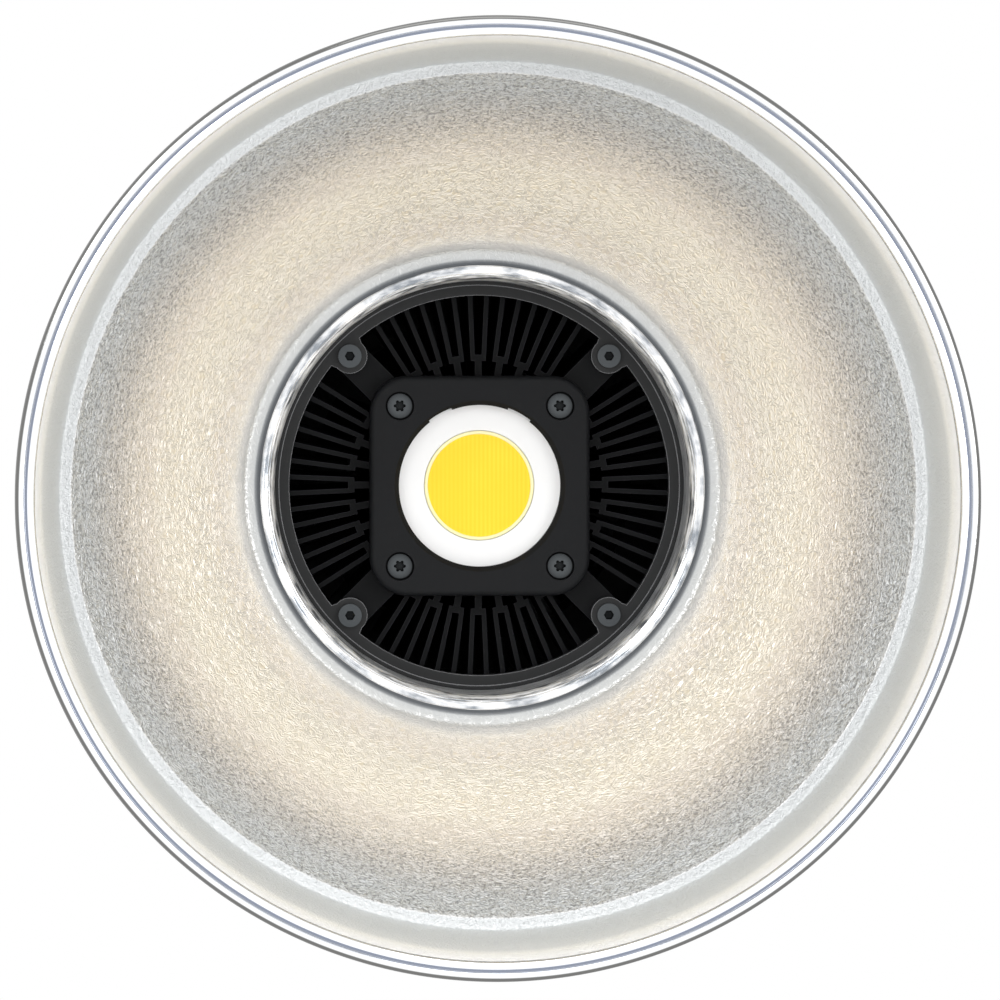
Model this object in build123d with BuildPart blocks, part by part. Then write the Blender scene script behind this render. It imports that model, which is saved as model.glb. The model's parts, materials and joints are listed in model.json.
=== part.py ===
"""Open-faced LED studio spotlight: a chip-on-board light head, its bayonet reflector and a stand adapter.

Row frame, in millimetres: +Z up, origin at the centre of the stand socket's mouth, light along -Y.
The optical axis is parallel to Y, at the height AXIS_Z.
"""

import math
import os

from build123d import *

os.makedirs("parts", exist_ok=True)

# ---------------------------------------------------------------- driving dimensions
AXIS_Z = 110.0  # height of the optical axis above the socket's mouth
RIM_Y = -138.0  # front of the reflector's rim
LED_Y = -28.0  # front face of the phosphor
CLEAR = 0.05  # radial clearance of a screw in its hole

# reflector
SHEET = 1.2  # thickness of the spun sheet
RIM_R = 98.75  # outside of the rolled rim
BEAD_R = 1.15  # radius of each of the rim's two beads
MOUTH_R = 49.5  # the collar's front lip, rolled over the edge of the sheet
MOUTH_ROLL = 3.4  # radius of the round from the lip into the bore
BORE_R = MOUTH_R - 0.3 - MOUTH_ROLL
NECK_R = 48.9  # outside of the collar's neck, which enters the mount
COLLAR_BACK_Y = -30.8
COLLAR_FLANGE = (-47.0, -44.2)  # front and back of the collar's flange
COLLAR_FLANGE_R = 57.0
TAB_R = 52.6
TAB = (-39.6, -36.6)  # front and back of the bayonet tabs
TAB_ANGLE = 24.0
TURN = 30.0  # turn between locked and free

# mount casting and housing
MOUNT_FRONT_Y = -44.0
MOUNT_R = 57.5
LIP_R = 49.2
GROOVE_R = 53.2
BODY = 104.0  # side of the square housing
BODY_CORNER = 24.0
WALL = 2.5
FLANGE_BACK_Y = -20.0  # where the shells begin
SHELL_BACK_Y = 78.0
PANEL_BACK_Y = 81.0
REAR_POST = 40.0  # half the spacing of the rear panel's screws
LIP_SCREWS = [(-24.0, -16.5), (24.0, -16.5)]  # x and y of the screws from each shell into the casting

# light source
BEZEL = (-29.5, -26.0)  # front and back of the bezel ring
BEZEL_IN_R = 42.6
BEZEL_OUT_R = 49.0
BEZEL_SCREW = 29.0  # half the side of the square of bezel screws
COVER = 49.2  # side of the square cover
COVER_FRONT_Y = -33.5
COVER_CORNER = 8.5
COVER_SCREW = 17.9
APERTURE_R = 18.1
PHOSPHOR_R = 11.5
SEAT_Y = -26.0  # face of the heat sink that the cover sits on

# heat sink
FIN_PAIRS = 36
FIN_TIP_R = 43.2
FORK_R = 29.0  # where each stem forks
FIN_FRONT_Y = -23.0
FIN_BACK_Y = 27.0
FIN = 1.0  # thickness of a fin
HUB_R = 20.0
ARM = 7.4  # width of a diagonal arm
FOOT_R = 48.0  # reach of the arms behind the casting's flange

# fan
FAN_FRONT_Y = 31.0
FAN = 80.0
FAN_DEPTH = 25.0
DUCT_R = 38.0
FAN_HOLE = 35.75  # half the hole spacing

# rear panel
BOARD_Y = 66.0  # front face of the control board
BOARD_THICK = 1.6
BOARD_W = 70.0
BOARD_H = 85.0
CONTROL_Z = -9.0  # height of the knobs and buttons, from the optical axis
KNOB_X = 28.0
KNOB_R = 10.5
BUTTON_PITCH = 10.0
BUTTON_R = 3.6
DISPLAY_Z = 24.0
DISPLAY_W = 54.0
DISPLAY_H = 30.0
SWITCH_X = -20.0
JACK_X = 20.0
PORTS_Z = -34.0

# stand adapter
TILT_Z = 40.0  # height of the tilt axis
SOCKET_R = 8.1
SOCKET_DEPTH = 29.0
SOCKET_OUT_R = 12.2
EAR_R = 11.8
TONGUE = 12.0  # thickness of the tongue between the ears
TONGUE_R = 8.5
WASHER = 1.0
EAR_OUT_X = 13.4
BOLT_R = 3.0
UMBRELLA_R = 4.1
UMBRELLA_X = 22.0
UMBRELLA_Z = 46.5
UMBRELLA_OUT_X = 31.0
STAND_LOCK_Z = 16.0
STAND_LOCK_OUT_X = 17.0

HEAD_AXIS = Axis((0, 0, AXIS_Z), (0, 1, 0))
CORNERS = [(1, 1), (-1, 1), (-1, -1), (1, -1)]


# ---------------------------------------------------------------- helpers
def facing_front(y):
    """Plane across the optical axis at y: local x is X, local y is Z, extruding goes towards the front."""
    return Plane(origin=(0, y, AXIS_Z), x_dir=(1, 0, 0), z_dir=(0, -1, 0))


def side_plane(x, z=0.0):
    """Plane across X at x: local x is Y, local y is Z, and extruding goes towards +X."""
    return Plane(origin=(x, 0, z), x_dir=(0, 1, 0), z_dir=(1, 0, 0))


# Plane through the optical axis: local x is the radius, local y is Y.
HALF_SECTION = Plane(origin=(0, 0, AXIS_Z), x_dir=(1, 0, 0), z_dir=(0, 0, 1))


def save(piece, name):
    """Labels a finished piece and writes it as one STEP file."""
    piece.part.label = name
    export_step(piece.part, f"parts/{name}.step")


def square(half):
    """The four corners of a square of that half side."""
    return [(half * x, half * y) for x, y in CORNERS]


def polar(radius, angle):
    """A point of the open sketch at that radius and angle in degrees."""
    return (radius * math.cos(math.radians(angle)), radius * math.sin(math.radians(angle)))


def ring_sector(inner_r, outer_r, start, sweep):
    """A sector of a ring about the optical axis, to be added to a sketch."""
    end = start + sweep
    with BuildSketch() as sector:
        with BuildLine():
            CenterArc((0, 0), inner_r, start, sweep)
            CenterArc((0, 0), outer_r, start, sweep)
            Line(polar(inner_r, start), polar(outer_r, start))
            Line(polar(inner_r, end), polar(outer_r, end))
        make_face()
    return sector.sketch


def six_lobe(radius, spots):
    """A six-lobe drive recess of that radius at each spot, in the sketch that is open."""
    for x, y in spots:
        with Locations((x, y)):
            Circle(radius * 0.72)
            with PolarLocations(radius * 0.74, 6):
                Circle(radius * 0.26)


def screws(head_plane, spots, head_r, head_h, shank_r, shank_len, drive_r, hex_drive=False):
    """A group of like screws: heads stand on head_plane's outer side, shanks run the other way."""
    with BuildPart() as group:
        with BuildSketch(head_plane):
            with Locations(*spots):
                Circle(head_r)
        extrude(amount=head_h)
        with BuildSketch(head_plane):
            with Locations(*spots):
                Circle(shank_r)
        extrude(amount=-shank_len)
        with BuildSketch(head_plane.offset(head_h)):
            if hex_drive:
                with Locations(*spots):
                    RegularPolygon(drive_r, 6)
            else:
                six_lobe(drive_r, spots)
        extrude(amount=-min(1.3, head_h * 0.75), mode=Mode.SUBTRACT)
    return group


def lobed_knob(x_in, x_out, z, radius, bore_r, bore_depth, lobes=6):
    """A lobed plastic knob on an axis along X, with a blind bore from its inner end x_in for its screw."""
    sign = 1 if x_out > x_in else -1
    hub_end = x_in + sign * 3.0
    inner = side_plane(x_in, z)
    with BuildPart() as knob:
        with BuildSketch(inner):
            Circle(radius * 0.62)
        extrude(amount=hub_end - x_in)
        with BuildSketch(side_plane(hub_end, z)):
            Circle(radius)
            with PolarLocations(radius * 1.13, lobes):
                Circle(radius * 0.3, mode=Mode.SUBTRACT)
        extrude(amount=x_out - hub_end)
        fillet(knob.faces().sort_by(Axis.X)[-1 if sign > 0 else 0].edges(), radius * 0.1)
        with BuildSketch(inner):
            Circle(bore_r)
        extrude(amount=sign * bore_depth, mode=Mode.SUBTRACT)
    return knob


def cylinder_x(x0, x1, z, radius):
    """A plain round pin, pad or washer along X."""
    with BuildPart() as pin:
        with BuildSketch(side_plane(x0, z)):
            Circle(radius)
        extrude(amount=x1 - x0)
    return pin


# ---------------------------------------------------------------- reflector
# The sheet's front side, from the swaged hole out to the rim: flange, dish, grid ledge, grid seat wall.
SHEET_FRONT = [
    (48.7, COLLAR_FLANGE[0] - SHEET),
    (52.4, COLLAR_FLANGE[0] - SHEET),
    (70.5, -78.5),
    (88.2, -113.6),
    (90.6, -113.6),
    (94.0, -129.4),
    (94.9, -135.6),
]
with BuildPart() as reflector_dish:
    with BuildSketch(HALF_SECTION):
        with BuildLine():
            FilletPolyline(*SHEET_FRONT, radius=[1.4, 170.0, 0.7, 0.7, 4.0])
            offset(amount=SHEET, side=Side.LEFT, closed=True)
        make_face()
        with Locations((95.8, RIM_Y + 1.9), (RIM_R - BEAD_R, RIM_Y + BEAD_R)):
            Circle(BEAD_R)
        with Locations((96.6, RIM_Y + 2.4)):
            Rectangle(2.6, 2.0)
    revolve(axis=HEAD_AXIS)
save(reflector_dish, "reflector_dish")

with BuildPart() as reflector_collar:
    with BuildSketch(HALF_SECTION):
        with BuildLine():
            lip_y = COLLAR_FLANGE[0] - SHEET - 0.7
            roll_in = MOUTH_ROLL * math.sqrt(0.5)
            roll_centre = (MOUTH_R - 0.3, lip_y + MOUTH_ROLL)
            Polyline(
                (BORE_R, roll_centre[1]),
                (BORE_R, COLLAR_BACK_Y),
                (NECK_R, COLLAR_BACK_Y),
                (NECK_R, COLLAR_FLANGE[1]),
                (COLLAR_FLANGE_R, COLLAR_FLANGE[1]),
                (COLLAR_FLANGE_R, COLLAR_FLANGE[0]),
                (48.6, COLLAR_FLANGE[0]),
                (48.6, COLLAR_FLANGE[0] - SHEET),
                (MOUTH_R, COLLAR_FLANGE[0] - SHEET),
                (MOUTH_R, lip_y + 0.3),
                (MOUTH_R - 0.3, lip_y),
            )
            ThreePointArc(
                (MOUTH_R - 0.3, lip_y),
                (roll_centre[0] - roll_in, roll_centre[1] - roll_in),
                (BORE_R, roll_centre[1]),
            )
        make_face()
    revolve(axis=HEAD_AXIS)
    with BuildSketch(facing_front(TAB[1])):
        for i in range(3):
            add(ring_sector(NECK_R - 0.4, TAB_R, 90 + 120 * i - TAB_ANGLE / 2, TAB_ANGLE))
    extrude(amount=TAB[1] - TAB[0])
    with BuildSketch(facing_front(TAB[1])):
        with Locations((0, 50.9)):
            Circle(1.5)
    extrude(amount=0.7, mode=Mode.SUBTRACT)
save(reflector_collar, "reflector_collar")

# ---------------------------------------------------------------- mount casting and its detent
with BuildPart() as bayonet_mount:
    with BuildSketch(facing_front(FLANGE_BACK_Y)):
        RectangleRounded(BODY, BODY, BODY_CORNER)
    extrude(amount=8.0)
    fillet(bayonet_mount.faces().sort_by(Axis.Y)[0].edges(), 3.0)
    with BuildSketch(facing_front(FLANGE_BACK_Y - 4)):
        Circle(MOUNT_R)
    extrude(amount=FLANGE_BACK_Y - 4 - MOUNT_FRONT_Y)
    chamfer(bayonet_mount.faces().sort_by(Axis.Y)[0].edges(), 0.8)
    with BuildSketch(facing_front(FLANGE_BACK_Y + 7)):
        RectangleRounded(BODY - 2 * WALL - 0.2, BODY - 2 * WALL - 0.2, BODY_CORNER - WALL)
    extrude(amount=7.0)
    for front, back, radius in (
        (MOUNT_FRONT_Y, -40.0, LIP_R),
        (-40.0, -34.0, GROOVE_R),
        (-34.0, BEZEL[1], BEZEL_OUT_R + 0.2),
        (BEZEL[1], -23.0, FIN_TIP_R + 0.3),
        (-23.0, FLANGE_BACK_Y + 7, FOOT_R + 0.4),
    ):
        with BuildSketch(facing_front(back)):
            Circle(radius)
        extrude(amount=back - front, mode=Mode.SUBTRACT)
    with BuildSketch(facing_front(-40.0)):
        for i in range(3):
            slot_start = 90 + 120 * i + TURN - TAB_ANGLE / 2 - 1.5
            add(ring_sector(LIP_R - 1.0, GROOVE_R, slot_start, TAB_ANGLE + 3))
    extrude(amount=4.0, mode=Mode.SUBTRACT)
    # stops that the tabs meet in the locked position
    with BuildSketch(facing_front(-34.0)):
        for i in range(3):
            add(ring_sector(LIP_R, GROOVE_R + 0.5, 90 + 120 * i - TAB_ANGLE / 2 - 6, 5.5))
    extrude(amount=6.0)
    # screws come in through the shells, into the casting's rear lip
    for side in (1, -1):
        with BuildSketch(Plane.XY.offset(AXIS_Z + side * (BODY / 2 - WALL - 0.1))):
            with Locations(*LIP_SCREWS):
                Circle(1.5 + CLEAR)
        extrude(amount=-side * 8.0, mode=Mode.SUBTRACT)
save(bayonet_mount, "bayonet_mount")

with BuildPart() as detent_spring:
    with BuildSketch(facing_front(-34.0)):
        add(ring_sector(49.8, 52.4, 78, 24))
    extrude(amount=0.4)
    with BuildSketch(facing_front(-34.2)):
        with Locations((0, 50.9)):
            Circle(1.1)
    extrude(amount=2.8)
save(detent_spring, "detent_spring")

# ---------------------------------------------------------------- bezel ring
with BuildPart() as bezel_ring:
    with BuildSketch(facing_front(BEZEL[1])):
        Circle(BEZEL_OUT_R)
        Circle(BEZEL_IN_R, mode=Mode.SUBTRACT)
        with Locations(*square(BEZEL_SCREW)):
            Circle(3.9)
        with Locations(*square(BEZEL_SCREW + 1.9)):
            Circle(4.6)
        Circle(BEZEL_OUT_R, mode=Mode.INTERSECT)
        with Locations(*square(BEZEL_SCREW)):
            Circle(1.5 + CLEAR, mode=Mode.SUBTRACT)
    extrude(amount=BEZEL[1] - BEZEL[0])
    with BuildSketch(facing_front(BEZEL[0])):
        Circle(BEZEL_OUT_R)
        Circle(44.9, mode=Mode.SUBTRACT)
    extrude(amount=0.6)
save(bezel_ring, "bezel_ring")
save(
    screws(facing_front(BEZEL[0]), square(BEZEL_SCREW), 2.6, 1.7, 1.5, 12.0, 1.15, hex_drive=True),
    "bezel_screws",
)

# ---------------------------------------------------------------- heat sink
with BuildPart() as heat_sink:
    with BuildSketch(facing_front(FIN_BACK_Y)):
        Circle(HUB_R)
        for i in range(FIN_PAIRS):
            angle = 360 / FIN_PAIRS * i
            spread = 90 / FIN_PAIRS
            if abs(angle % 90 - 45) < 8:
                continue
            with PolarLocations(0, 1, start_angle=angle):
                with Locations(((HUB_R + FORK_R) / 2 - 0.6, 0)):
                    Rectangle(FORK_R - HUB_R + 0.2, 1.5)
                with Locations((FORK_R - 0.4, 0)):
                    Rectangle(1.4, 3.4)
            for turn in (-spread, spread):
                if abs((angle + turn) % 90 - 45) > 5:
                    with PolarLocations(0, 1, start_angle=angle + turn):
                        with Locations(((FORK_R + FIN_TIP_R) / 2, 0)):
                            Rectangle(FIN_TIP_R - FORK_R, FIN)
        with Locations((0, 0)):
            Rectangle(2 * FIN_TIP_R - 0.6, ARM, rotation=45)
            Rectangle(2 * FIN_TIP_R - 0.6, ARM, rotation=-45)
    extrude(amount=FIN_BACK_Y - FIN_FRONT_Y)
    # pedestal and arm faces that the cover and the bezel ring sit on
    with BuildSketch(facing_front(FIN_FRONT_Y)):
        RectangleRounded(COVER - 3, COVER - 3, COVER_CORNER - 1)
        Rectangle(2 * FIN_TIP_R - 0.6, ARM, rotation=45)
        Rectangle(2 * FIN_TIP_R - 0.6, ARM, rotation=-45)
    extrude(amount=FIN_FRONT_Y - SEAT_Y)
    # feet that clamp against the back of the casting's flange
    with BuildSketch(facing_front(FIN_FRONT_Y + 11)):
        Rectangle(2 * FOOT_R - 1, ARM, rotation=45)
        Rectangle(2 * FOOT_R - 1, ARM, rotation=-45)
        Circle(FIN_TIP_R - 2, mode=Mode.SUBTRACT)
    extrude(amount=11.0)
    with BuildSketch(facing_front(SEAT_Y)):
        with Locations(*square(BEZEL_SCREW), *square(COVER_SCREW)):
            Circle(1.5 + CLEAR)
    extrude(amount=-11.0, mode=Mode.SUBTRACT)
save(heat_sink, "heat_sink")

# ---------------------------------------------------------------- light source
with BuildPart() as led_cover:
    with BuildSketch(facing_front(SEAT_Y)):
        RectangleRounded(COVER, COVER, COVER_CORNER)
    extrude(amount=SEAT_Y - COVER_FRONT_Y)
    fillet(led_cover.faces().sort_by(Axis.Y)[0].edges(), 1.3)
    with BuildSketch(facing_front(COVER_FRONT_Y)):
        Circle(APERTURE_R)
    extrude(amount=COVER_FRONT_Y - SEAT_Y, mode=Mode.SUBTRACT)
    front_circles = led_cover.faces().sort_by(Axis.Y)[0].edges().filter_by(GeomType.CIRCLE)
    rim = front_circles.sort_by(SortBy.RADIUS)[-1:]
    chamfer(rim, 1.0)
    # two shallow notches for the board's solder tabs
    with BuildSketch(facing_front(COVER_FRONT_Y)):
        add(ring_sector(APERTURE_R - 1, APERTURE_R + 0.45, 52, 18))
        add(ring_sector(APERTURE_R - 1, APERTURE_R + 0.45, 110, 18))
    extrude(amount=COVER_FRONT_Y - SEAT_Y, mode=Mode.SUBTRACT)
    # pockets for the white surround and the board, from behind
    with BuildSketch(facing_front(SEAT_Y)):
        Circle(20.2)
    extrude(amount=4.2, mode=Mode.SUBTRACT)
    with BuildSketch(facing_front(SEAT_Y)):
        RectangleRounded(38.4, 38.4, 1.6)
    extrude(amount=1.4, mode=Mode.SUBTRACT)
    with BuildSketch(facing_front(COVER_FRONT_Y)):
        with Locations(*square(COVER_SCREW)):
            Circle(3.2)
    extrude(amount=-2.6, mode=Mode.SUBTRACT)
    with BuildSketch(facing_front(COVER_FRONT_Y)):
        with Locations(*square(COVER_SCREW)):
            Circle(1.5 + CLEAR)
    extrude(amount=COVER_FRONT_Y - SEAT_Y, mode=Mode.SUBTRACT)
save(led_cover, "led_cover")
cover_seat = facing_front(COVER_FRONT_Y + 2.6)
save(screws(cover_seat, square(COVER_SCREW), 2.75, 1.9, 1.5, 12.0, 1.35), "cover_screws")

with BuildPart() as thermal_pad:
    with BuildSketch(facing_front(SEAT_Y)):
        Rectangle(32, 32)
    extrude(amount=0.3)
save(thermal_pad, "thermal_pad")

with BuildPart() as led_board:
    with BuildSketch(facing_front(SEAT_Y - 0.3)):
        RectangleRounded(38, 38, 1.5)
        with Locations(*square(COVER_SCREW)):
            Circle(2.2, mode=Mode.SUBTRACT)
    extrude(amount=1.0)
save(led_board, "led_board")

with BuildPart() as led_phosphor:
    with BuildSketch(facing_front(SEAT_Y - 1.3)):
        Circle(PHOSPHOR_R)
    extrude(amount=SEAT_Y - 1.3 - LED_Y)
save(led_phosphor, "led_phosphor")

with BuildPart() as phosphor_dam:
    with BuildSketch(facing_front(SEAT_Y - 1.3)):
        Circle(PHOSPHOR_R + 0.8)
        Circle(PHOSPHOR_R, mode=Mode.SUBTRACT)
    extrude(amount=0.95)
    fillet(phosphor_dam.faces().sort_by(Axis.Y)[0].edges(), 0.3)
save(phosphor_dam, "phosphor_dam")

with BuildPart() as white_surround:
    with BuildSketch(HALF_SECTION):
        with BuildLine():
            Polyline(
                (PHOSPHOR_R + 0.9, SEAT_Y - 1.3),
                (PHOSPHOR_R + 0.9, LED_Y),
                (APERTURE_R, LED_Y - 1.6),
                (20.0, LED_Y - 1.6),
                (20.0, SEAT_Y - 1.4),
                (18.8, SEAT_Y - 1.3),
                close=True,
            )
        make_face()
    revolve(axis=HEAD_AXIS)
save(white_surround, "white_surround")

# ---------------------------------------------------------------- housing shells
INNER = BODY - 2 * WALL
RIB_BACK_YS = (28.9, 33.1)  # the fan plate sits between these two ribs
HANDLE_SCREWS = [(x, y) for x in (-6.0, 6.0) for y in (-8.0, 68.0)]
SHOE_SCREWS = [(x, y) for x in (-17.0, 17.0) for y in (-6.0, 18.0)]


def shell(side):
    """One half of the housing tube; side is 1 for the upper half and -1 for the lower."""
    with BuildPart() as half:
        with BuildSketch(facing_front(SHELL_BACK_Y)):
            RectangleRounded(BODY, BODY, BODY_CORNER)
            RectangleRounded(INNER, INNER, BODY_CORNER - WALL, mode=Mode.SUBTRACT)
        extrude(amount=SHELL_BACK_Y - FLANGE_BACK_Y)
        for back in RIB_BACK_YS:
            with BuildSketch(facing_front(back)):
                RectangleRounded(INNER + 1, INNER + 1, BODY_CORNER - WALL)
                RectangleRounded(INNER - 6, INNER - 6, BODY_CORNER - WALL - 3, mode=Mode.SUBTRACT)
            extrude(amount=2.0)
        with BuildSketch(facing_front(SHELL_BACK_Y - 6)):
            with Locations(*square(REAR_POST)):
                Circle(4.4)
        extrude(amount=12.0)
        with BuildSketch(facing_front(SHELL_BACK_Y - 6)):
            with Locations(*square(REAR_POST)):
                Circle(1.5 + CLEAR)
        extrude(amount=11.0, mode=Mode.SUBTRACT)
        # side vents: a front bank over the fins and a rear bank for the fan's intake
        for first, count in ((-6.0, 5), (40.0, 6)):
            for i in range(count):
                with BuildSketch(facing_front(first + 5.6 * i)):
                    for x in (BODY / 2, -BODY / 2):
                        with Locations((x, side * 19.0)):
                            SlotOverall(26.0, 8.0, rotation=90)
                extrude(amount=2.6, mode=Mode.SUBTRACT)
        # screws from outside into the casting's rear lip
        with BuildSketch(Plane.XY.offset(AXIS_Z + side * BODY / 2)):
            with Locations(*LIP_SCREWS):
                Circle(1.5 + CLEAR)
        extrude(amount=-side * WALL, mode=Mode.SUBTRACT)
        with BuildSketch(Plane.XY.offset(AXIS_Z + side * BODY / 2)):
            with Locations(*LIP_SCREWS):
                Circle(2.9)
        extrude(amount=-side * 1.2, mode=Mode.SUBTRACT)
        spots = HANDLE_SCREWS if side > 0 else SHOE_SCREWS
        with BuildSketch(Plane.XY.offset(AXIS_Z + side * (BODY / 2 - WALL + 0.5))):
            with Locations(*spots):
                Circle(4.0)
        extrude(amount=-side * 4.5)
        with BuildSketch(Plane.XY.offset(AXIS_Z + side * BODY / 2)):
            with Locations(*spots):
                Circle(1.5 + CLEAR)
        extrude(amount=-side * 8.0, mode=Mode.SUBTRACT)
        split(bisect_by=Plane.XY.offset(AXIS_Z), keep=Keep.TOP if side > 0 else Keep.BOTTOM)
    return half


save(shell(1), "upper_shell")
save(shell(-1), "lower_shell")

with BuildPart() as shell_screws:
    for side in (1, -1):
        head = Plane.XY.offset(AXIS_Z + side * (BODY / 2 - 1.2))
        with BuildSketch(head):
            with Locations(*LIP_SCREWS):
                Circle(2.75)
        extrude(amount=side * 1.1)
        with BuildSketch(head):
            with Locations(*LIP_SCREWS):
                Circle(1.5)
        extrude(amount=-side * 8.0)
        with BuildSketch(head.offset(side * 1.1)):
            six_lobe(1.3, LIP_SCREWS)
        extrude(amount=-side * 0.8, mode=Mode.SUBTRACT)
save(shell_screws, "shell_screws")

# ---------------------------------------------------------------- fan
with BuildPart() as fan_plate:
    with BuildSketch(facing_front(FAN_FRONT_Y)):
        RectangleRounded(INNER - 0.4, INNER - 0.4, BODY_CORNER - WALL)
        Circle(DUCT_R, mode=Mode.SUBTRACT)
        with Locations(*square(FAN_HOLE)):
            Circle(1.6, mode=Mode.SUBTRACT)
    extrude(amount=2.0)
save(fan_plate, "fan_plate")

FAN_BACK_Y = FAN_FRONT_Y + FAN_DEPTH
with BuildPart() as fan_frame:
    with BuildSketch(facing_front(FAN_BACK_Y)):
        RectangleRounded(FAN, FAN, 4)
        Circle(DUCT_R, mode=Mode.SUBTRACT)
        with Locations(*square(FAN_HOLE)):
            Circle(1.6, mode=Mode.SUBTRACT)
    extrude(amount=FAN_DEPTH)
    with BuildSketch(facing_front(FAN_BACK_Y)):
        Circle(18)
        for i in range(4):
            with PolarLocations(0, 1, start_angle=30 + 90 * i):
                with Locations((28, 0)):
                    Rectangle(22, 4)
    extrude(amount=3.0)
    with BuildSketch(facing_front(FAN_BACK_Y - 3)):
        Circle(4.0)
    extrude(amount=14.0)
    with BuildSketch(facing_front(FAN_BACK_Y)):
        Circle(1.54)
    extrude(amount=17.0, mode=Mode.SUBTRACT)
save(fan_frame, "fan_frame")

with BuildPart() as fan_rotor:
    with BuildSketch(facing_front(FAN_BACK_Y - 4)):
        Circle(17.0)
    extrude(amount=19.0)
    fillet(fan_rotor.faces().sort_by(Axis.Y)[0].edges(), 1.5)
    with BuildSketch(facing_front(FAN_BACK_Y - 4)):
        Circle(15.6)
    extrude(amount=17.0, mode=Mode.SUBTRACT)
    with BuildSketch(facing_front(FAN_BACK_Y - 1)):
        Circle(1.5)
    extrude(amount=21.0)
    # blades: pitched slabs between the hub and the tip circle
    pitch = math.radians(38)
    for i in range(9):
        turn = math.radians(40 * i)
        radial = Vector(math.cos(turn), 0, math.sin(turn))
        across = math.sin(pitch)
        normal = Vector(-math.sin(turn) * across, -math.cos(pitch), math.cos(turn) * across)
        with BuildSketch(Plane(origin=(0, FAN_BACK_Y - 13.0, AXIS_Z), x_dir=radial, z_dir=normal)):
            with Locations((26.5, 0)):
                Rectangle(21.0, 20)
        extrude(amount=0.7, both=True)
    with BuildSketch(facing_front(FAN_BACK_Y - 4)):
        Circle(60)
        Circle(36.6, mode=Mode.SUBTRACT)
    extrude(amount=22.0, mode=Mode.SUBTRACT)
save(fan_rotor, "fan_rotor")
save(
    screws(facing_front(FAN_FRONT_Y - 2), square(FAN_HOLE), 2.8, 1.8, 1.5, 12.0, 1.3),
    "fan_screws",
)

# ---------------------------------------------------------------- rear panel and controls
BOARD_SCREWS = [(-31.5, 39.5), (31.5, 39.5), (-31.5, -23.0), (31.5, -23.0)]
BOARD_BACK_Y = BOARD_Y + BOARD_THICK
KNOBS = [(-KNOB_X, CONTROL_Z), (KNOB_X, CONTROL_Z)]
BUTTONS = [(-BUTTON_PITCH, CONTROL_Z), (0, CONTROL_Z), (BUTTON_PITCH, CONTROL_Z)]

with BuildPart() as rear_panel:
    with BuildSketch(facing_front(PANEL_BACK_Y)):
        RectangleRounded(BODY, BODY, BODY_CORNER)
    extrude(amount=PANEL_BACK_Y - SHELL_BACK_Y)
    fillet(rear_panel.faces().sort_by(Axis.Y)[-1].edges(), 1.6)
    with BuildSketch(facing_front(SHELL_BACK_Y)):
        RectangleRounded(INNER - 0.3, INNER - 0.3, BODY_CORNER - WALL)
        RectangleRounded(INNER - 4.3, INNER - 4.3, BODY_CORNER - WALL - 2, mode=Mode.SUBTRACT)
    extrude(amount=3.0)
    with BuildSketch(facing_front(SHELL_BACK_Y)):
        with Locations(*square(REAR_POST)):
            Circle(4.4)
    extrude(amount=6.0)
    with BuildSketch(facing_front(SHELL_BACK_Y)):
        with Locations(*BOARD_SCREWS):
            Circle(2.5)
    extrude(amount=SHELL_BACK_Y - BOARD_BACK_Y)
    with BuildSketch(facing_front(BOARD_BACK_Y)):
        with Locations(*BOARD_SCREWS):
            Circle(1.25 + CLEAR)
    extrude(amount=-7.0, mode=Mode.SUBTRACT)
    with BuildSketch(facing_front(PANEL_BACK_Y)):
        with Locations(*square(REAR_POST)):
            Circle(1.5 + CLEAR)
    extrude(amount=10.0, mode=Mode.SUBTRACT)
    with BuildSketch(facing_front(PANEL_BACK_Y)):
        with Locations(*square(REAR_POST)):
            Circle(2.95)
        with Locations((0, DISPLAY_Z)):
            RectangleRounded(DISPLAY_W + 0.1, DISPLAY_H + 0.1, 2.5)
    extrude(amount=1.2, mode=Mode.SUBTRACT)
    with BuildSketch(facing_front(PANEL_BACK_Y)):
        with Locations((0, DISPLAY_Z)):
            RectangleRounded(DISPLAY_W - 4, DISPLAY_H - 4, 1.5)
        with Locations(*KNOBS):
            Circle(3.55)
        with Locations(*BUTTONS):
            Circle(BUTTON_R + 0.3)
        with Locations((SWITCH_X, PORTS_Z)):
            Rectangle(19.0, 13.0)
        with Locations((JACK_X, PORTS_Z)):
            Circle(6.25)
        with Locations((0, PORTS_Z)):
            RectangleRounded(9.2, 3.5, 1.7)
    extrude(amount=3.0, mode=Mode.SUBTRACT)
save(rear_panel, "rear_panel")

with BuildPart() as panel_screws:
    with BuildSketch(facing_front(PANEL_BACK_Y - 1.2)):
        with Locations(*square(REAR_POST)):
            Circle(2.8)
    extrude(amount=-1.1)
    with BuildSketch(facing_front(PANEL_BACK_Y - 1.2)):
        with Locations(*square(REAR_POST)):
            Circle(1.5)
    extrude(amount=16.0)
    with BuildSketch(facing_front(PANEL_BACK_Y - 0.1)):
        six_lobe(1.3, square(REAR_POST))
    extrude(amount=0.8, mode=Mode.SUBTRACT)
save(panel_screws, "panel_screws")

with BuildPart() as display_window:
    with BuildSketch(facing_front(PANEL_BACK_Y)):
        with Locations((0, DISPLAY_Z)):
            RectangleRounded(DISPLAY_W, DISPLAY_H, 2.45)
    extrude(amount=1.2)
save(display_window, "display_window")

with BuildPart() as display_module:
    with BuildSketch(facing_front(SHELL_BACK_Y)):
        with Locations((0, DISPLAY_Z)):
            Rectangle(DISPLAY_W + 2, DISPLAY_H + 2)
    extrude(amount=4.0)
    with BuildSketch(facing_front(SHELL_BACK_Y - 4)):
        with Locations((-24, DISPLAY_Z), (24, DISPLAY_Z)):
            Rectangle(3, 20)
    extrude(amount=SHELL_BACK_Y - 4 - BOARD_BACK_Y)
save(display_module, "display_module")

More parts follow.
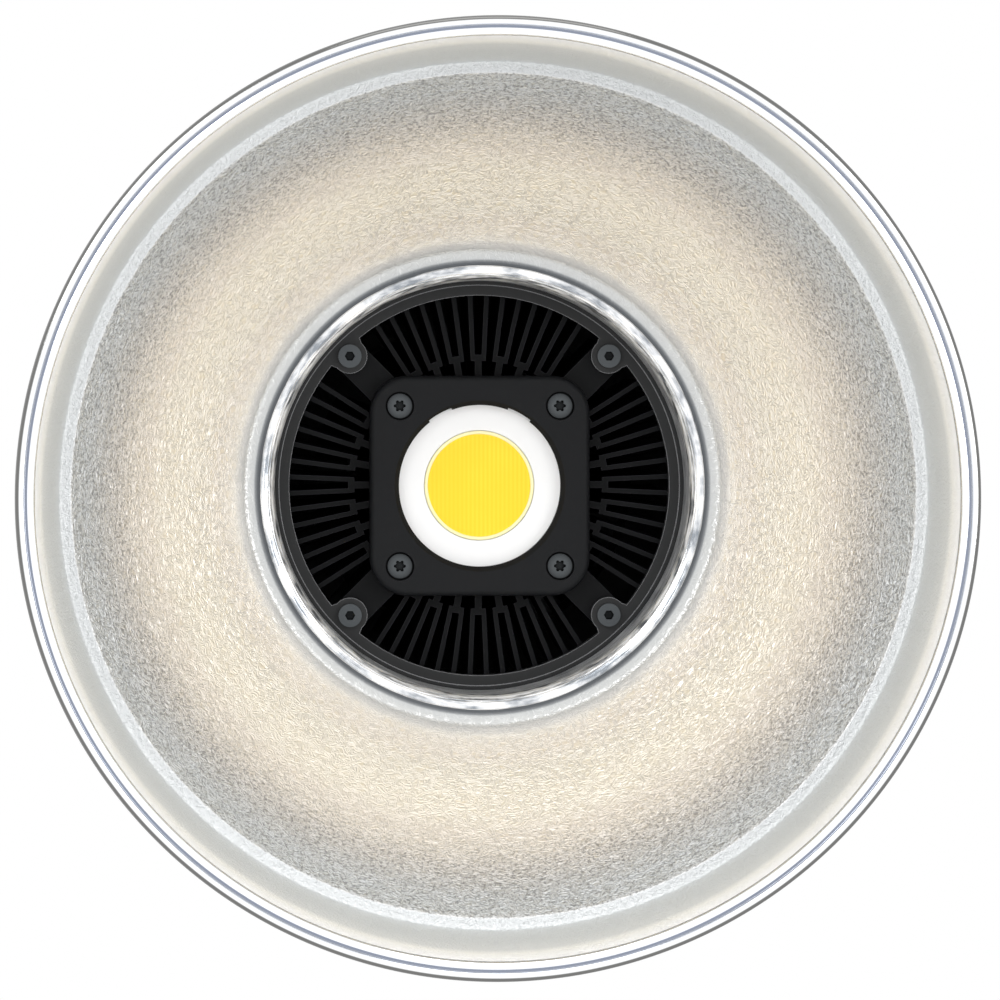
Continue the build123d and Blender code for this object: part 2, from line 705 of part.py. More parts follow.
with BuildPart() as control_board:
    with BuildSketch(facing_front(BOARD_BACK_Y)):
        RectangleRounded(BOARD_W, BOARD_H, 2)
        with Locations(*BOARD_SCREWS):
            Circle(1.25 + CLEAR, mode=Mode.SUBTRACT)
    extrude(amount=BOARD_THICK)
save(control_board, "control_board")
save(screws(facing_front(BOARD_Y), BOARD_SCREWS, 2.3, 1.5, 1.25, 7.0, 1.1), "board_screws")

with BuildPart() as driver_parts:
    with BuildSketch(facing_front(BOARD_Y)):
        with Locations((-20, 12), (-20, 26), (-7, 33)):
            Circle(5)
    extrude(amount=7.5)
    fillet(driver_parts.faces().sort_by(Axis.Y)[0:3].edges(), 0.8)
    with BuildSketch(facing_front(BOARD_Y)):
        with Locations((14, 22)):
            RectangleRounded(15, 15, 2)
        with Locations((0, -30)):
            Rectangle(13, 7)
    extrude(amount=6.0)
    with BuildSketch(facing_front(BOARD_Y)):
        with Locations((-4, 2), (16, -6), (-22, -14)):
            Rectangle(9, 9)
        with Locations((22, -30), (22, -36), (-22, -34)):
            Rectangle(6, 3)
    extrude(amount=1.6)
save(driver_parts, "driver_parts")

with BuildPart() as encoders:
    with BuildSketch(facing_front(BOARD_BACK_Y)):
        with Locations(*KNOBS):
            Rectangle(12.5, 12.5)
    extrude(amount=-6.5)
    with BuildSketch(facing_front(BOARD_BACK_Y)):
        with Locations(*KNOBS):
            Circle(3.5)
    extrude(amount=BOARD_BACK_Y - PANEL_BACK_Y - 0.8)
    with BuildSketch(facing_front(PANEL_BACK_Y + 0.8)):
        with Locations(*KNOBS):
            Circle(3.05)
    extrude(amount=11.0, mode=Mode.SUBTRACT)
save(encoders, "encoders")

with BuildPart() as tact_switches:
    with BuildSketch(facing_front(BOARD_BACK_Y)):
        with Locations(*BUTTONS):
            Rectangle(6, 6)
    extrude(amount=-3.4)
    with BuildSketch(facing_front(BOARD_BACK_Y)):
        with Locations(*BUTTONS):
            Circle(1.6)
    extrude(amount=-4.0)
save(tact_switches, "tact_switches")


def dial(x):
    """A fluted control knob with its pointer groove, standing off the rear panel at x."""
    with BuildPart() as knob:
        with BuildSketch(facing_front(PANEL_BACK_Y + 1.3)):
            with Locations((x, CONTROL_Z)):
                Circle(KNOB_R)
                with PolarLocations(KNOB_R + 0.35, 24):
                    Circle(0.75, mode=Mode.SUBTRACT)
        extrude(amount=-11.0)
        with BuildSketch(facing_front(PANEL_BACK_Y + 12.3)):
            with Locations((x, CONTROL_Z)):
                Circle(KNOB_R - 1.2)
        extrude(amount=-1.2)
        with BuildSketch(facing_front(PANEL_BACK_Y + 13.5)):
            with Locations((x, CONTROL_Z + 5.6)):
                SlotOverall(5.0, 1.0, rotation=90)
        extrude(amount=0.5, mode=Mode.SUBTRACT)
        with BuildSketch(facing_front(PANEL_BACK_Y + 1.3)):
            with Locations((x, CONTROL_Z)):
                Circle(3.0)
        extrude(amount=-9.0, mode=Mode.SUBTRACT)
    return knob


def dial_shaft(x):
    """The metal shaft that joins a control knob to its encoder."""
    with BuildPart() as shaft:
        with BuildSketch(facing_front(PANEL_BACK_Y + 10.2)):
            with Locations((x, CONTROL_Z)):
                Circle(3.0)
        extrude(amount=19.5)
    return shaft


def button(x):
    """A round push button with the flange that keeps it behind the panel, and its stem."""
    with BuildPart() as cap:
        for back, radius, length in ((82.3, BUTTON_R, 4.6), (77.7, BUTTON_R + 1.0, 0.8), (76.9, 1.8, 4.7)):
            with BuildSketch(facing_front(back)):
                with Locations((x, CONTROL_Z)):
                    Circle(radius)
            extrude(amount=length)
        fillet(cap.faces().sort_by(Axis.Y)[-1].edges(), 0.5)
    return cap


save(dial(-KNOB_X), "brightness_knob")
save(dial_shaft(-KNOB_X), "brightness_shaft")
save(dial(KNOB_X), "colour_knob")
save(dial_shaft(KNOB_X), "colour_shaft")
save(button(-BUTTON_PITCH), "mode_button")
save(button(0), "group_button")
save(button(BUTTON_PITCH), "effects_button")

with BuildPart() as power_switch_frame:
    switch = (SWITCH_X, PORTS_Z)
    with BuildSketch(facing_front(PANEL_BACK_Y)):
        with Locations(switch):
            Rectangle(18.9, 12.9)
    extrude(amount=12.0)
    with BuildSketch(facing_front(PANEL_BACK_Y)):
        with Locations(switch):
            RectangleRounded(21.5, 15.5, 1.2)
    extrude(amount=-1.5)
    with BuildSketch(facing_front(PANEL_BACK_Y + 1.5)):
        with Locations(switch):
            Rectangle(15.2, 10.2)
    extrude(amount=9.0, mode=Mode.SUBTRACT)
    with BuildSketch(Plane.XY.offset(AXIS_Z + PORTS_Z - 5.9)):
        with Locations((SWITCH_X, 79.0)):
            Circle(1.05)
    extrude(amount=11.8, mode=Mode.SUBTRACT)
save(power_switch_frame, "power_switch_frame")

with BuildPart() as power_rocker:
    rocker_plane = Plane(
        origin=(SWITCH_X, 79.0, AXIS_Z + PORTS_Z - 4.8),
        x_dir=(math.cos(math.radians(8)), math.sin(math.radians(8)), 0),
        z_dir=(0, 0, 1),
    )
    with BuildSketch(rocker_plane):
        with BuildLine():
            Polyline((-6.6, 5.2), (0, 3.7), (6.6, 5.2), (6.2, -1.2), (0, -3.0), (-6.2, -1.2), close=True)
        make_face()
    extrude(amount=9.6)
    with BuildSketch(rocker_plane.offset(-0.9)):
        Circle(1.0)
    extrude(amount=11.4)
save(power_rocker, "power_rocker")

with BuildPart() as dc_jack:
    with BuildSketch(facing_front(PANEL_BACK_Y)):
        with Locations((JACK_X, PORTS_Z)):
            Circle(6.2)
    extrude(amount=12.0)
    with BuildSketch(facing_front(PANEL_BACK_Y)):
        with Locations((JACK_X, PORTS_Z)):
            RegularPolygon(7.6, 6)
    extrude(amount=-1.6)
    with BuildSketch(facing_front(PANEL_BACK_Y + 1.6)):
        with Locations((JACK_X, PORTS_Z)):
            Circle(3.1)
    extrude(amount=11.0, mode=Mode.SUBTRACT)
    with BuildSketch(facing_front(PANEL_BACK_Y - 0.5)):
        with Locations((JACK_X, PORTS_Z)):
            Circle(1.05)
    extrude(amount=10.0)
save(dc_jack, "dc_jack")

with BuildPart() as usb_socket:
    with BuildSketch(facing_front(PANEL_BACK_Y)):
        with Locations((0, PORTS_Z)):
            RectangleRounded(9.0, 3.3, 1.6)
            RectangleRounded(8.4, 2.7, 1.3, mode=Mode.SUBTRACT)
    extrude(amount=PANEL_BACK_Y - BOARD_BACK_Y)
    with BuildSketch(facing_front(BOARD_BACK_Y)):
        with Locations((0, PORTS_Z)):
            RectangleRounded(8.6, 2.9, 1.4)
    extrude(amount=-6.0)
    with BuildSketch(facing_front(BOARD_BACK_Y)):
        with Locations((0, PORTS_Z)):
            Rectangle(6.7, 0.7)
    extrude(amount=-12.4)
save(usb_socket, "usb_socket")

# ---------------------------------------------------------------- carry handle
HANDLE_W = 20.0
HANDLE_FRONT_Y = -14.0
HANDLE_BACK_Y = 74.0
HANDLE_TOP = 88.0  # above the optical axis
BAR = 8.0
with BuildPart() as carry_handle:
    with BuildSketch(side_plane(-HANDLE_W / 2, AXIS_Z)):
        with BuildLine():
            low = BODY / 2
            FilletPolyline(
                (HANDLE_FRONT_Y, low),
                (HANDLE_FRONT_Y, HANDLE_TOP),
                (HANDLE_BACK_Y, HANDLE_TOP),
                (HANDLE_BACK_Y, low),
                (HANDLE_BACK_Y - 12, low),
                (HANDLE_BACK_Y - 8, HANDLE_TOP - BAR),
                (HANDLE_FRONT_Y + 8, HANDLE_TOP - BAR),
                (HANDLE_FRONT_Y + 12, low),
                radius=[0.5, 14, 14, 0.5, 0.5, 7, 7, 0.5],
                close=True,
            )
        make_face()
    extrude(amount=HANDLE_W)
    fillet(carry_handle.faces().sort_by(Axis.X)[0].edges(), 2.4)
    fillet(carry_handle.faces().sort_by(Axis.X)[-1].edges(), 2.4)
    with BuildSketch(Plane.XY.offset(AXIS_Z + BODY / 2)):
        with Locations(*HANDLE_SCREWS):
            Circle(1.5 + CLEAR)
    extrude(amount=9.0, mode=Mode.SUBTRACT)
save(carry_handle, "carry_handle")

GRIP_Y = (8.0, 52.0)
with BuildPart() as handle_grip:
    with BuildSketch(facing_front(GRIP_Y[1])):
        with Locations((0, HANDLE_TOP - BAR / 2)):
            RectangleRounded(HANDLE_W + 3.2, BAR + 3.2, 4.0)
            RectangleRounded(HANDLE_W, BAR, 2.4, mode=Mode.SUBTRACT)
    extrude(amount=GRIP_Y[1] - GRIP_Y[0])
    for i in range(7):
        with BuildSketch(facing_front(GRIP_Y[0] + 5 + 6 * i)):
            with Locations((0, HANDLE_TOP - BAR / 2)):
                RectangleRounded(HANDLE_W + 4.0, BAR + 4.0, 4.0)
                RectangleRounded(HANDLE_W + 2.2, BAR + 2.2, 3.5, mode=Mode.SUBTRACT)
        extrude(amount=2.0, mode=Mode.SUBTRACT)
save(handle_grip, "handle_grip")

HANDLE_HEAD = Plane.XY.offset(AXIS_Z + BODY / 2 - WALL - 4.0)
save(
    screws(Plane(HANDLE_HEAD.origin, x_dir=(1, 0, 0), z_dir=(0, 0, -1)),
           [(x, -y) for x, y in HANDLE_SCREWS], 2.7, 1.7, 1.5, 14.0, 1.3),
    "handle_screws",
)

# ---------------------------------------------------------------- tilt shoe under the housing
SHOE_TOP = AXIS_Z - BODY / 2
SHOE_THICK = 5.0
SHOE_Y = (-12.5, 25.5)
with BuildPart() as tilt_shoe:
    with BuildSketch(Plane.XY.offset(SHOE_TOP - SHOE_THICK)):
        with Locations(((UMBRELLA_OUT_X - 23) / 2, (SHOE_Y[0] + SHOE_Y[1]) / 2)):
            RectangleRounded(UMBRELLA_OUT_X + 23, SHOE_Y[1] - SHOE_Y[0], 4)
    extrude(amount=SHOE_THICK)
    with BuildSketch(side_plane(-TONGUE / 2, TILT_Z)):
        Circle(TONGUE_R)
        with Locations((0, (SHOE_TOP - SHOE_THICK - TILT_Z) / 2)):
            Rectangle(2 * TONGUE_R, SHOE_TOP - SHOE_THICK - TILT_Z)
    extrude(amount=TONGUE)
    with BuildSketch(side_plane(EAR_OUT_X + 1.1, UMBRELLA_Z)):
        with Locations((0, -0.5)):
            RectangleRounded(20, 14, 3)
        with Locations((0, 3.5)):
            Rectangle(20, 6)
    extrude(amount=UMBRELLA_OUT_X - EAR_OUT_X - 1.1)
    with BuildSketch(side_plane(-TONGUE / 2, TILT_Z)):
        Circle(BOLT_R + CLEAR)
    extrude(amount=TONGUE, mode=Mode.SUBTRACT)
    with BuildSketch(Plane(origin=(UMBRELLA_X, 10, UMBRELLA_Z), x_dir=(1, 0, 0), z_dir=(0, -1, 0))):
        Circle(UMBRELLA_R)
    extrude(amount=20, mode=Mode.SUBTRACT)
    with BuildSketch(side_plane(UMBRELLA_X, UMBRELLA_Z)):
        Circle(2.5 + CLEAR)
    extrude(amount=UMBRELLA_OUT_X - UMBRELLA_X, mode=Mode.SUBTRACT)
    with BuildSketch(Plane.XY.offset(SHOE_TOP)):
        with Locations(*SHOE_SCREWS):
            Circle(1.5 + CLEAR)
    extrude(amount=-SHOE_THICK + 0.6, mode=Mode.SUBTRACT)
save(tilt_shoe, "tilt_shoe")

BACKPLATE_Z = SHOE_TOP + WALL + 4.0
with BuildPart() as shoe_backplate:
    with BuildSketch(Plane.XY.offset(BACKPLATE_Z)):
        with Locations((0, 6)):
            RectangleRounded(42, 33, 3)
        with Locations(*SHOE_SCREWS):
            Circle(1.5 + CLEAR, mode=Mode.SUBTRACT)
    extrude(amount=1.5)
save(shoe_backplate, "shoe_backplate")
save(screws(Plane.XY.offset(BACKPLATE_Z + 1.5), SHOE_SCREWS, 2.8, 1.7, 1.5, 12.0, 1.3), "shoe_screws")

# ---------------------------------------------------------------- stand socket and its clamps
with BuildPart() as stand_socket:
    with BuildSketch(Plane.XY):
        Circle(SOCKET_OUT_R)
    extrude(amount=SOCKET_DEPTH + 2)
    with BuildSketch(side_plane(-EAR_OUT_X, TILT_Z)):
        Circle(EAR_R)
        with Locations((0, -8)):
            Rectangle(2 * EAR_R, 16)
    extrude(amount=2 * EAR_OUT_X)
    with BuildSketch(side_plane(-TONGUE / 2 - WASHER, TILT_Z)):
        with Locations((0, 10.5)):
            Rectangle(30, 39)
    extrude(amount=TONGUE + 2 * WASHER, mode=Mode.SUBTRACT)
    with BuildSketch(side_plane(SOCKET_R + 1, STAND_LOCK_Z)):
        Circle(7.4)
    extrude(amount=STAND_LOCK_OUT_X - SOCKET_R - 1)
    chamfer(stand_socket.faces().sort_by(Axis.Z)[0].edges(), 0.8)
    with BuildSketch(Plane.XY):
        Circle(SOCKET_R)
    extrude(amount=SOCKET_DEPTH, mode=Mode.SUBTRACT)
    with BuildSketch(side_plane(0, STAND_LOCK_Z)):
        Circle(4.05)
    extrude(amount=STAND_LOCK_OUT_X, mode=Mode.SUBTRACT)
    with BuildSketch(side_plane(EAR_OUT_X, TILT_Z)):
        Circle(5.2)
    extrude(amount=-3.4, mode=Mode.SUBTRACT)
    with BuildSketch(side_plane(-EAR_OUT_X, TILT_Z)):
        Circle(BOLT_R + CLEAR)
    extrude(amount=2 * EAR_OUT_X, mode=Mode.SUBTRACT)
save(stand_socket, "stand_socket")

KNOB_IN_X = -(EAR_OUT_X + 0.3 + 1.0)  # inner end of the tilt knob
with BuildPart() as tilt_bolt:
    with BuildSketch(side_plane(EAR_OUT_X - 3.4, TILT_Z)):
        Circle(5.1)
    extrude(amount=3.2)
    with BuildSketch(side_plane(EAR_OUT_X - 0.2, TILT_Z)):
        RegularPolygon(2.6, 6)
    extrude(amount=-2.0, mode=Mode.SUBTRACT)
    with BuildSketch(side_plane(EAR_OUT_X - 3.4, TILT_Z)):
        Circle(BOLT_R)
    extrude(amount=-(EAR_OUT_X - 3.4 + 28.0))
save(tilt_bolt, "tilt_bolt")

with BuildPart() as friction_washers:
    for x in (-TONGUE / 2 - WASHER, TONGUE / 2):
        with BuildSketch(side_plane(x, TILT_Z)):
            Circle(TONGUE_R - 0.1)
            Circle(BOLT_R + CLEAR, mode=Mode.SUBTRACT)
        extrude(amount=WASHER)
save(friction_washers, "friction_washers")

with BuildPart() as tilt_thrust_washer:
    with BuildSketch(side_plane(KNOB_IN_X, TILT_Z)):
        Circle(7.6)
        Circle(BOLT_R + 0.3, mode=Mode.SUBTRACT)
    extrude(amount=1.0)
save(tilt_thrust_washer, "tilt_thrust_washer")
save(lobed_knob(KNOB_IN_X, -32.0, TILT_Z, 12.5, BOLT_R + CLEAR, 15.5, lobes=7), "tilt_knob")

save(cylinder_x(SOCKET_R + 0.3, 11.2, STAND_LOCK_Z, 3.6), "stand_lock_pad")
save(cylinder_x(11.2, 28.0, STAND_LOCK_Z, 4.0), "stand_lock_screw")
save(lobed_knob(STAND_LOCK_OUT_X + 2.2, 34.0, STAND_LOCK_Z, 10.5, 4.0, 8.8), "stand_lock_knob")

PAD_X = UMBRELLA_X + UMBRELLA_R + 0.3
save(cylinder_x(PAD_X, PAD_X + 2.0, UMBRELLA_Z, 2.2), "umbrella_pad")
save(cylinder_x(PAD_X + 2.0, 38.5, UMBRELLA_Z, 2.5), "umbrella_screw")
save(lobed_knob(UMBRELLA_OUT_X + 1.5, 42.0, UMBRELLA_Z, 6.5, 2.5, 6.0), "umbrella_knob")
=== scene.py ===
# %% [markdown]
# # An open-faced LED spotlight
#
# A studio light of this kind is a finned aluminium heat sink with a yellow light source bolted to its front,
# inside a black housing, and a spun aluminium bowl that twists onto the front. The moving frame comes ready
# made: every casting, screw and knob is loaded in its place. This notebook adds what the eye judges it by:
# the bright rolled reflector with its hammered lining, the polished collar, and an honest finish for each piece.

# %% Load the frame
import json

import bpy
import numpy as np
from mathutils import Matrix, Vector


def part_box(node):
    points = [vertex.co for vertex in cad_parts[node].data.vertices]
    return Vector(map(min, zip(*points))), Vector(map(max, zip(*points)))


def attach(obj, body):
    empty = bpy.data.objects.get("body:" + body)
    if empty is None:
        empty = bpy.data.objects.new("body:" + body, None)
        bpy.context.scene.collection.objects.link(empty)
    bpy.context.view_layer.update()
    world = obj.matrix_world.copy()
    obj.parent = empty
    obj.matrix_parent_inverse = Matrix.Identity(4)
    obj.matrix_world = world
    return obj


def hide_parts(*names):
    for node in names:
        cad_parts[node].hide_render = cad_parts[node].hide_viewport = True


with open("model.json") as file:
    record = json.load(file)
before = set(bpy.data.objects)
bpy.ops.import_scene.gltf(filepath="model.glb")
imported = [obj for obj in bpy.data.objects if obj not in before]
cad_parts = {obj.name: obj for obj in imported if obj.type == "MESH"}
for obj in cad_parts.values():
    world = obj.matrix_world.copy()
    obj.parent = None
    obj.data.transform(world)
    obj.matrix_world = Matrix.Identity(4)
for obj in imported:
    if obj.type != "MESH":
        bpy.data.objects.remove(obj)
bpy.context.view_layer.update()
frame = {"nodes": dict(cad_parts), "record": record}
MM = 0.001

# %% [markdown]
# Everything round in this lamp shares one axis, the optical axis. Its height and the reflector's front come
# from the frame itself, so that the new surfaces land exactly on the old ones.

# %% The optical axis
dish_low, dish_high = (np.array(corner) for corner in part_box("reflector_dish"))
AXIS_Z = (dish_low[2] + dish_high[2]) / 2 / MM
RIM_Y = dish_low[1] / MM
RIM_R = (dish_high[0] - dish_low[0]) / 2 / MM
print(f"optical axis {AXIS_Z:.1f} mm up, rim {RIM_R:.2f} mm in radius at y = {RIM_Y:.1f} mm")

# %% [markdown]
# ## Camera
#
# The light is looked at from straight ahead with a long lens, from a little above and to the left. Only that
# small offset shows how deep the bowl is: the source appears shifted towards the upper left inside the rim.

# %% Camera
VIEW_DISTANCE = 1100.0  # from the middle of the rim
VIEW_AZIMUTH, VIEW_ELEVATION = np.radians(-2.44), np.radians(1.71)
SENSOR = 36.0
FRAME_WIDTH = 1000 / 4.903  # what the picture spans at the rim


def camera_direction(azimuth, elevation):
    """Unit vector from the target to the camera; azimuth 0 looks along +Y."""
    return np.array(
        [np.sin(azimuth) * np.cos(elevation), -np.cos(azimuth) * np.cos(elevation), np.sin(elevation)]
    )


def point_at(thing, place, target):
    """Puts a camera or a lamp at a place, its -Z axis towards the target, its +Y as upright as can be."""
    thing.location = place
    thing.rotation_euler = Vector(target - place).to_track_quat("-Z", "Y").to_euler()


rim_centre = np.array([0.0, RIM_Y, AXIS_Z]) * MM
camera = bpy.data.objects.new("camera", bpy.data.cameras.new("camera"))
bpy.context.scene.collection.objects.link(camera)
camera.data.sensor_width = SENSOR
camera.data.lens = SENSOR * VIEW_DISTANCE / FRAME_WIDTH
camera.data.clip_end = 20
point_at(camera, rim_centre + VIEW_DISTANCE * MM * camera_direction(VIEW_AZIMUTH, VIEW_ELEVATION), rim_centre)
bpy.context.scene.camera = camera
bpy.context.scene.view_settings.view_transform = "Standard"
print(f"lens {camera.data.lens:.0f} mm")

# %% [markdown]
# ## Colours and nodes
#
# Paint charts and screens give colours as sRGB hex. A shader works in linear light, so one function turns
# them. Another adds a node with its settings and its links in one line.


# %% Colour and node helpers
def linear(hex_value):
    """sRGB hex to linear light: c/12.92 below 0.04045, otherwise ((c + 0.055)/1.055) to the power 2.4."""
    srgb = np.array([int(hex_value[i : i + 2], 16) for i in (1, 3, 5)]) / 255
    light = np.where(srgb <= 0.04045, srgb / 12.92, ((srgb + 0.055) / 1.055) ** 2.4)
    return (*light.tolist(), 1.0)


def add(tree, kind, links=None, **settings):
    """Adds a node. Settings are its properties, or its inputs by name or number; links feed its inputs."""
    node = tree.nodes.new("ShaderNode" + kind)
    for key, value in settings.items():
        if hasattr(node, key):
            setattr(node, key, value)
        else:
            node.inputs[int(key[1:]) if key[0] == "_" else key.replace("_", " ")].default_value = value
    for key, socket in (links or {}).items():
        tree.links.new(socket, node.inputs[key])
    return node


def finish(name, color, metallic=0.0, roughness=0.5, **more):
    """A new material and its shader, with what is the same all over set on the shader itself."""
    material = bpy.data.materials.new(name)
    material.use_nodes = True
    tree = material.node_tree
    shader = tree.nodes["Principled BSDF"]
    shader.inputs["Base Color"].default_value = linear(color)
    shader.inputs["Metallic"].default_value = metallic
    shader.inputs["Roughness"].default_value = roughness
    for key, value in more.items():
        shader.inputs[key.replace("_", " ")].default_value = value
    return material, tree, shader


def places(tree):
    """Object coordinates in millimetres, so that a pattern's scale is one over its size in millimetres."""
    where = add(tree, "TexCoord")
    return add(tree, "Mapping", {"Vector": where.outputs["Object"]}, Scale=(1 / MM,) * 3).outputs[0]


def bump(tree, shader, height, depth_mm):
    """Feeds a height of 0 to 1 to the shader's normal, as relief of that depth in millimetres."""
    relief = add(tree, "Bump", {"Height": height}, Strength=1.0, Distance=depth_mm * MM)
    tree.links.new(relief.outputs[0], shader.inputs["Normal"])


def spread(tree, value, low, high):
    """Maps 0..1 to low..high."""
    return add(tree, "MapRange", {"Value": value}, To_Min=low, To_Max=high).outputs[0]


def axis_distance(tree):
    """Distance from the optical axis in millimetres, for tones that follow the lathe."""
    where = add(tree, "TexCoord").outputs["Object"]
    flat = add(tree, "Mapping", {"Vector": where}, Location=(0, 0, -AXIS_Z), Scale=(1 / MM, 0, 1 / MM))
    return add(tree, "VectorMath", {0: flat.outputs[0]}, operation="LENGTH").outputs["Value"]


def tones(tree, radius, stops):
    """A colour that changes with the radius. Stops are (millimetres from the axis, sRGB hex)."""
    low, high = stops[0][0], stops[-1][0]
    along = add(tree, "MapRange", {"Value": radius}, From_Min=low, From_Max=high)
    ramp = add(tree, "ValToRGB", {"Fac": along.outputs[0]})
    elements = ramp.color_ramp.elements
    for number, (at, color) in enumerate(stops):
        place = (at - low) / (high - low)
        stop = elements[number] if number in (0, 1) else elements.new(place)
        stop.position = place
        stop.color = linear(color)
    return ramp.outputs["Color"]


# %% [markdown]
# ## Surfaces of revolution
#
# A spun or turned piece is a profile in radius and depth carried round the axis. The profile's corners are
# rounded first, because light catches on the radius of an edge and a dead sharp edge looks false.


# %% Profiles and revolved surfaces
def rounded(corners, radii, step=1.0):
    """A polyline whose corners are arcs: each corner is cut back by r * tan(turn/2) along both its runs, and an
    arc of radius r joins the cuts. Arcs get a point every 12 degrees or so, runs one every step."""
    corners = np.array(corners, float)
    path = [corners[:1]]
    for before, corner, after, radius in zip(corners[:-2], corners[1:-1], corners[2:], radii):
        into = (corner - before) / np.linalg.norm(corner - before)
        out = (after - corner) / np.linalg.norm(after - corner)
        turn = np.arctan2(into[0] * out[1] - into[1] * out[0], into @ out)
        cut = radius * np.tan(abs(turn) / 2)
        normal = np.sign(turn) * np.array([-into[1], into[0]])
        centre = corner - into * cut + normal * radius
        count = max(3, int(np.ceil(np.degrees(abs(turn)) / 12)) + 1)
        angles = np.linspace(0, turn, count)[:, None]
        arm = -normal * radius
        swing = np.cos(angles) * arm + np.sin(angles) * np.array([-arm[1], arm[0]])
        path.append(centre + swing)
    path.append(corners[-1:])
    points = np.concatenate(path)
    lengths = np.linalg.norm(np.diff(points, axis=0), axis=1)
    dense = [
        start + (end - start) * np.linspace(0, 1, max(1, round(length / step)), endpoint=False)[:, None]
        for start, end, length in zip(points[:-1], points[1:], lengths)
    ]
    return np.concatenate([*dense, points[-1:]])


def surface(name, grid, body, materials, bands=None, sharp=40, capped=False):
    """Makes an object from a grid of points, shape (u, v, 3) in millimetres, riding on a body. Quads join each
    point to the next along u and v, and the last to the first. With several materials, bands gives the number of
    the material for each row of quads along u. Edges sharper than that many degrees aren't smoothed. A capped
    piece isn't joined round along v: it gets a flat end at each end of v."""
    nu, nv = grid.shape[:2]
    number = np.arange(nu * nv).reshape(nu, nv)
    after_u = np.roll(number, -1, axis=0)
    after_v = np.roll(number, -1, axis=1)
    after_both = np.roll(after_u, -1, axis=1)
    quads = np.stack([number, after_u, after_both, after_v], axis=-1)
    quads = quads[:, : nv - 1 if capped else nv].reshape(-1, 4)
    ends = [number[::-1, 0].tolist(), number[:, -1].tolist()] if capped else []
    mesh = bpy.data.meshes.new(name)
    mesh.from_pydata((grid.reshape(-1, 3) * MM).tolist(), [], quads.tolist() + ends)
    mesh.shade_smooth()
    mesh.set_sharp_from_angle(angle=np.radians(sharp))
    for material in materials:
        mesh.materials.append(material)
    if bands is not None:
        mesh.polygons.foreach_set("material_index", np.repeat(bands, len(quads) // len(bands)))
    piece = bpy.data.objects.new(name, mesh)
    bpy.context.scene.collection.objects.link(piece)
    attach(piece, body)
    print(f"{name}: {len(quads)} quads")
    return piece


def full_circle(count):
    """Angles evenly round a circle, in radians, without the first one again at the end."""
    return np.linspace(0, 2 * np.pi, count, endpoint=False)


def revolved(profile, turn):
    """A profile of (radius, y) carried through angles t about the optical axis: x = r cos t, z = axis + r sin t."""
    radius, depth = profile[:, :1], profile[:, 1:]
    return np.stack([radius * np.cos(turn), depth + 0 * turn, AXIS_Z + radius * np.sin(turn)], axis=-1)


# %% [markdown]
# ## The reflector bowl
#
# The bowl is spun from 1.2 mm aluminium sheet. Inside, it is hammered all over with grain about a millimetre
# across, which blurs the reflection of the light source into a soft glow. In front of the bowl a plain ledge
# seats a honeycomb grid, then a plain satin wall runs out to a double rolled rim.
#
# Nearly all of the grain is relief in the material. The mesh carries only waves of 2 to 3 mm in length and a few
# thousandths of a millimetre deep: enough to break up a reflection, too little to show in the mesh itself.

# %% Bowl shape
SHEET = 1.2
FLANGE_Y = -48.2
FLANGE_IN_R, THROAT_R, LEDGE_IN_R, LEDGE_OUT_R = 48.7, 52.4, 88.2, 90.6
BOWL_MIDDLE = (70.5, -78.5)  # the slant bends here
LEDGE_Y = -113.6
WALL_BEND = (94.0, -129.4)
WALL_END = (94.9, -135.6)
SECTION_STEP = 0.85
front = rounded(
    [(FLANGE_IN_R, FLANGE_Y), (THROAT_R, FLANGE_Y), BOWL_MIDDLE, (LEDGE_IN_R, LEDGE_Y), (LEDGE_OUT_R, LEDGE_Y),
     WALL_BEND, WALL_END],
    [1.4, 170.0, 0.7, 0.7, 4.0],
    step=SECTION_STEP,
)
print(len(front), "points along the front of the bowl's section")

# %% [markdown]
# The rim is two beads rolled from the sheet's own edge, one inside the other. Their arcs follow the front of the
# section, and the back of the sheet, one thickness behind, closes it.

# %% Rolled rim and back of the section
BEAD_R = 1.15
INNER_BEAD = (95.8, RIM_Y + 1.9)


def arc(centre, radius, start, end, count):
    """Points of a circle's arc between two angles in degrees, 0 along +radius and 90 along +y."""
    angle = np.radians(np.linspace(start, end, count))[:, None]
    return np.array(centre) + radius * np.concatenate([np.cos(angle), np.sin(angle)], axis=1)


def unit_tangents(path):
    """The direction of a path at each of its points, from the points on either side, as unit vectors."""
    tangent = np.gradient(path, axis=0)
    return tangent / np.linalg.norm(tangent, axis=1)[:, None]


def offset_path(path, distance):
    """The path moved sideways by its unit normal, which is the tangent turned by +90 degrees."""
    tangent = unit_tangents(path)
    return path + distance * np.stack([-tangent[:, 1], tangent[:, 0]], axis=1)


inner_bead = arc(INNER_BEAD, BEAD_R, 200, 310, 12)
outer_bead = arc((RIM_R - BEAD_R, RIM_Y + BEAD_R), BEAD_R, 232, 450, 22)
back = offset_path(front[::4], SHEET)[::-1]
bowl_profile = np.concatenate([front, inner_bead, outer_bead, back[1:]])
print(len(bowl_profile), "points round the bowl's section")
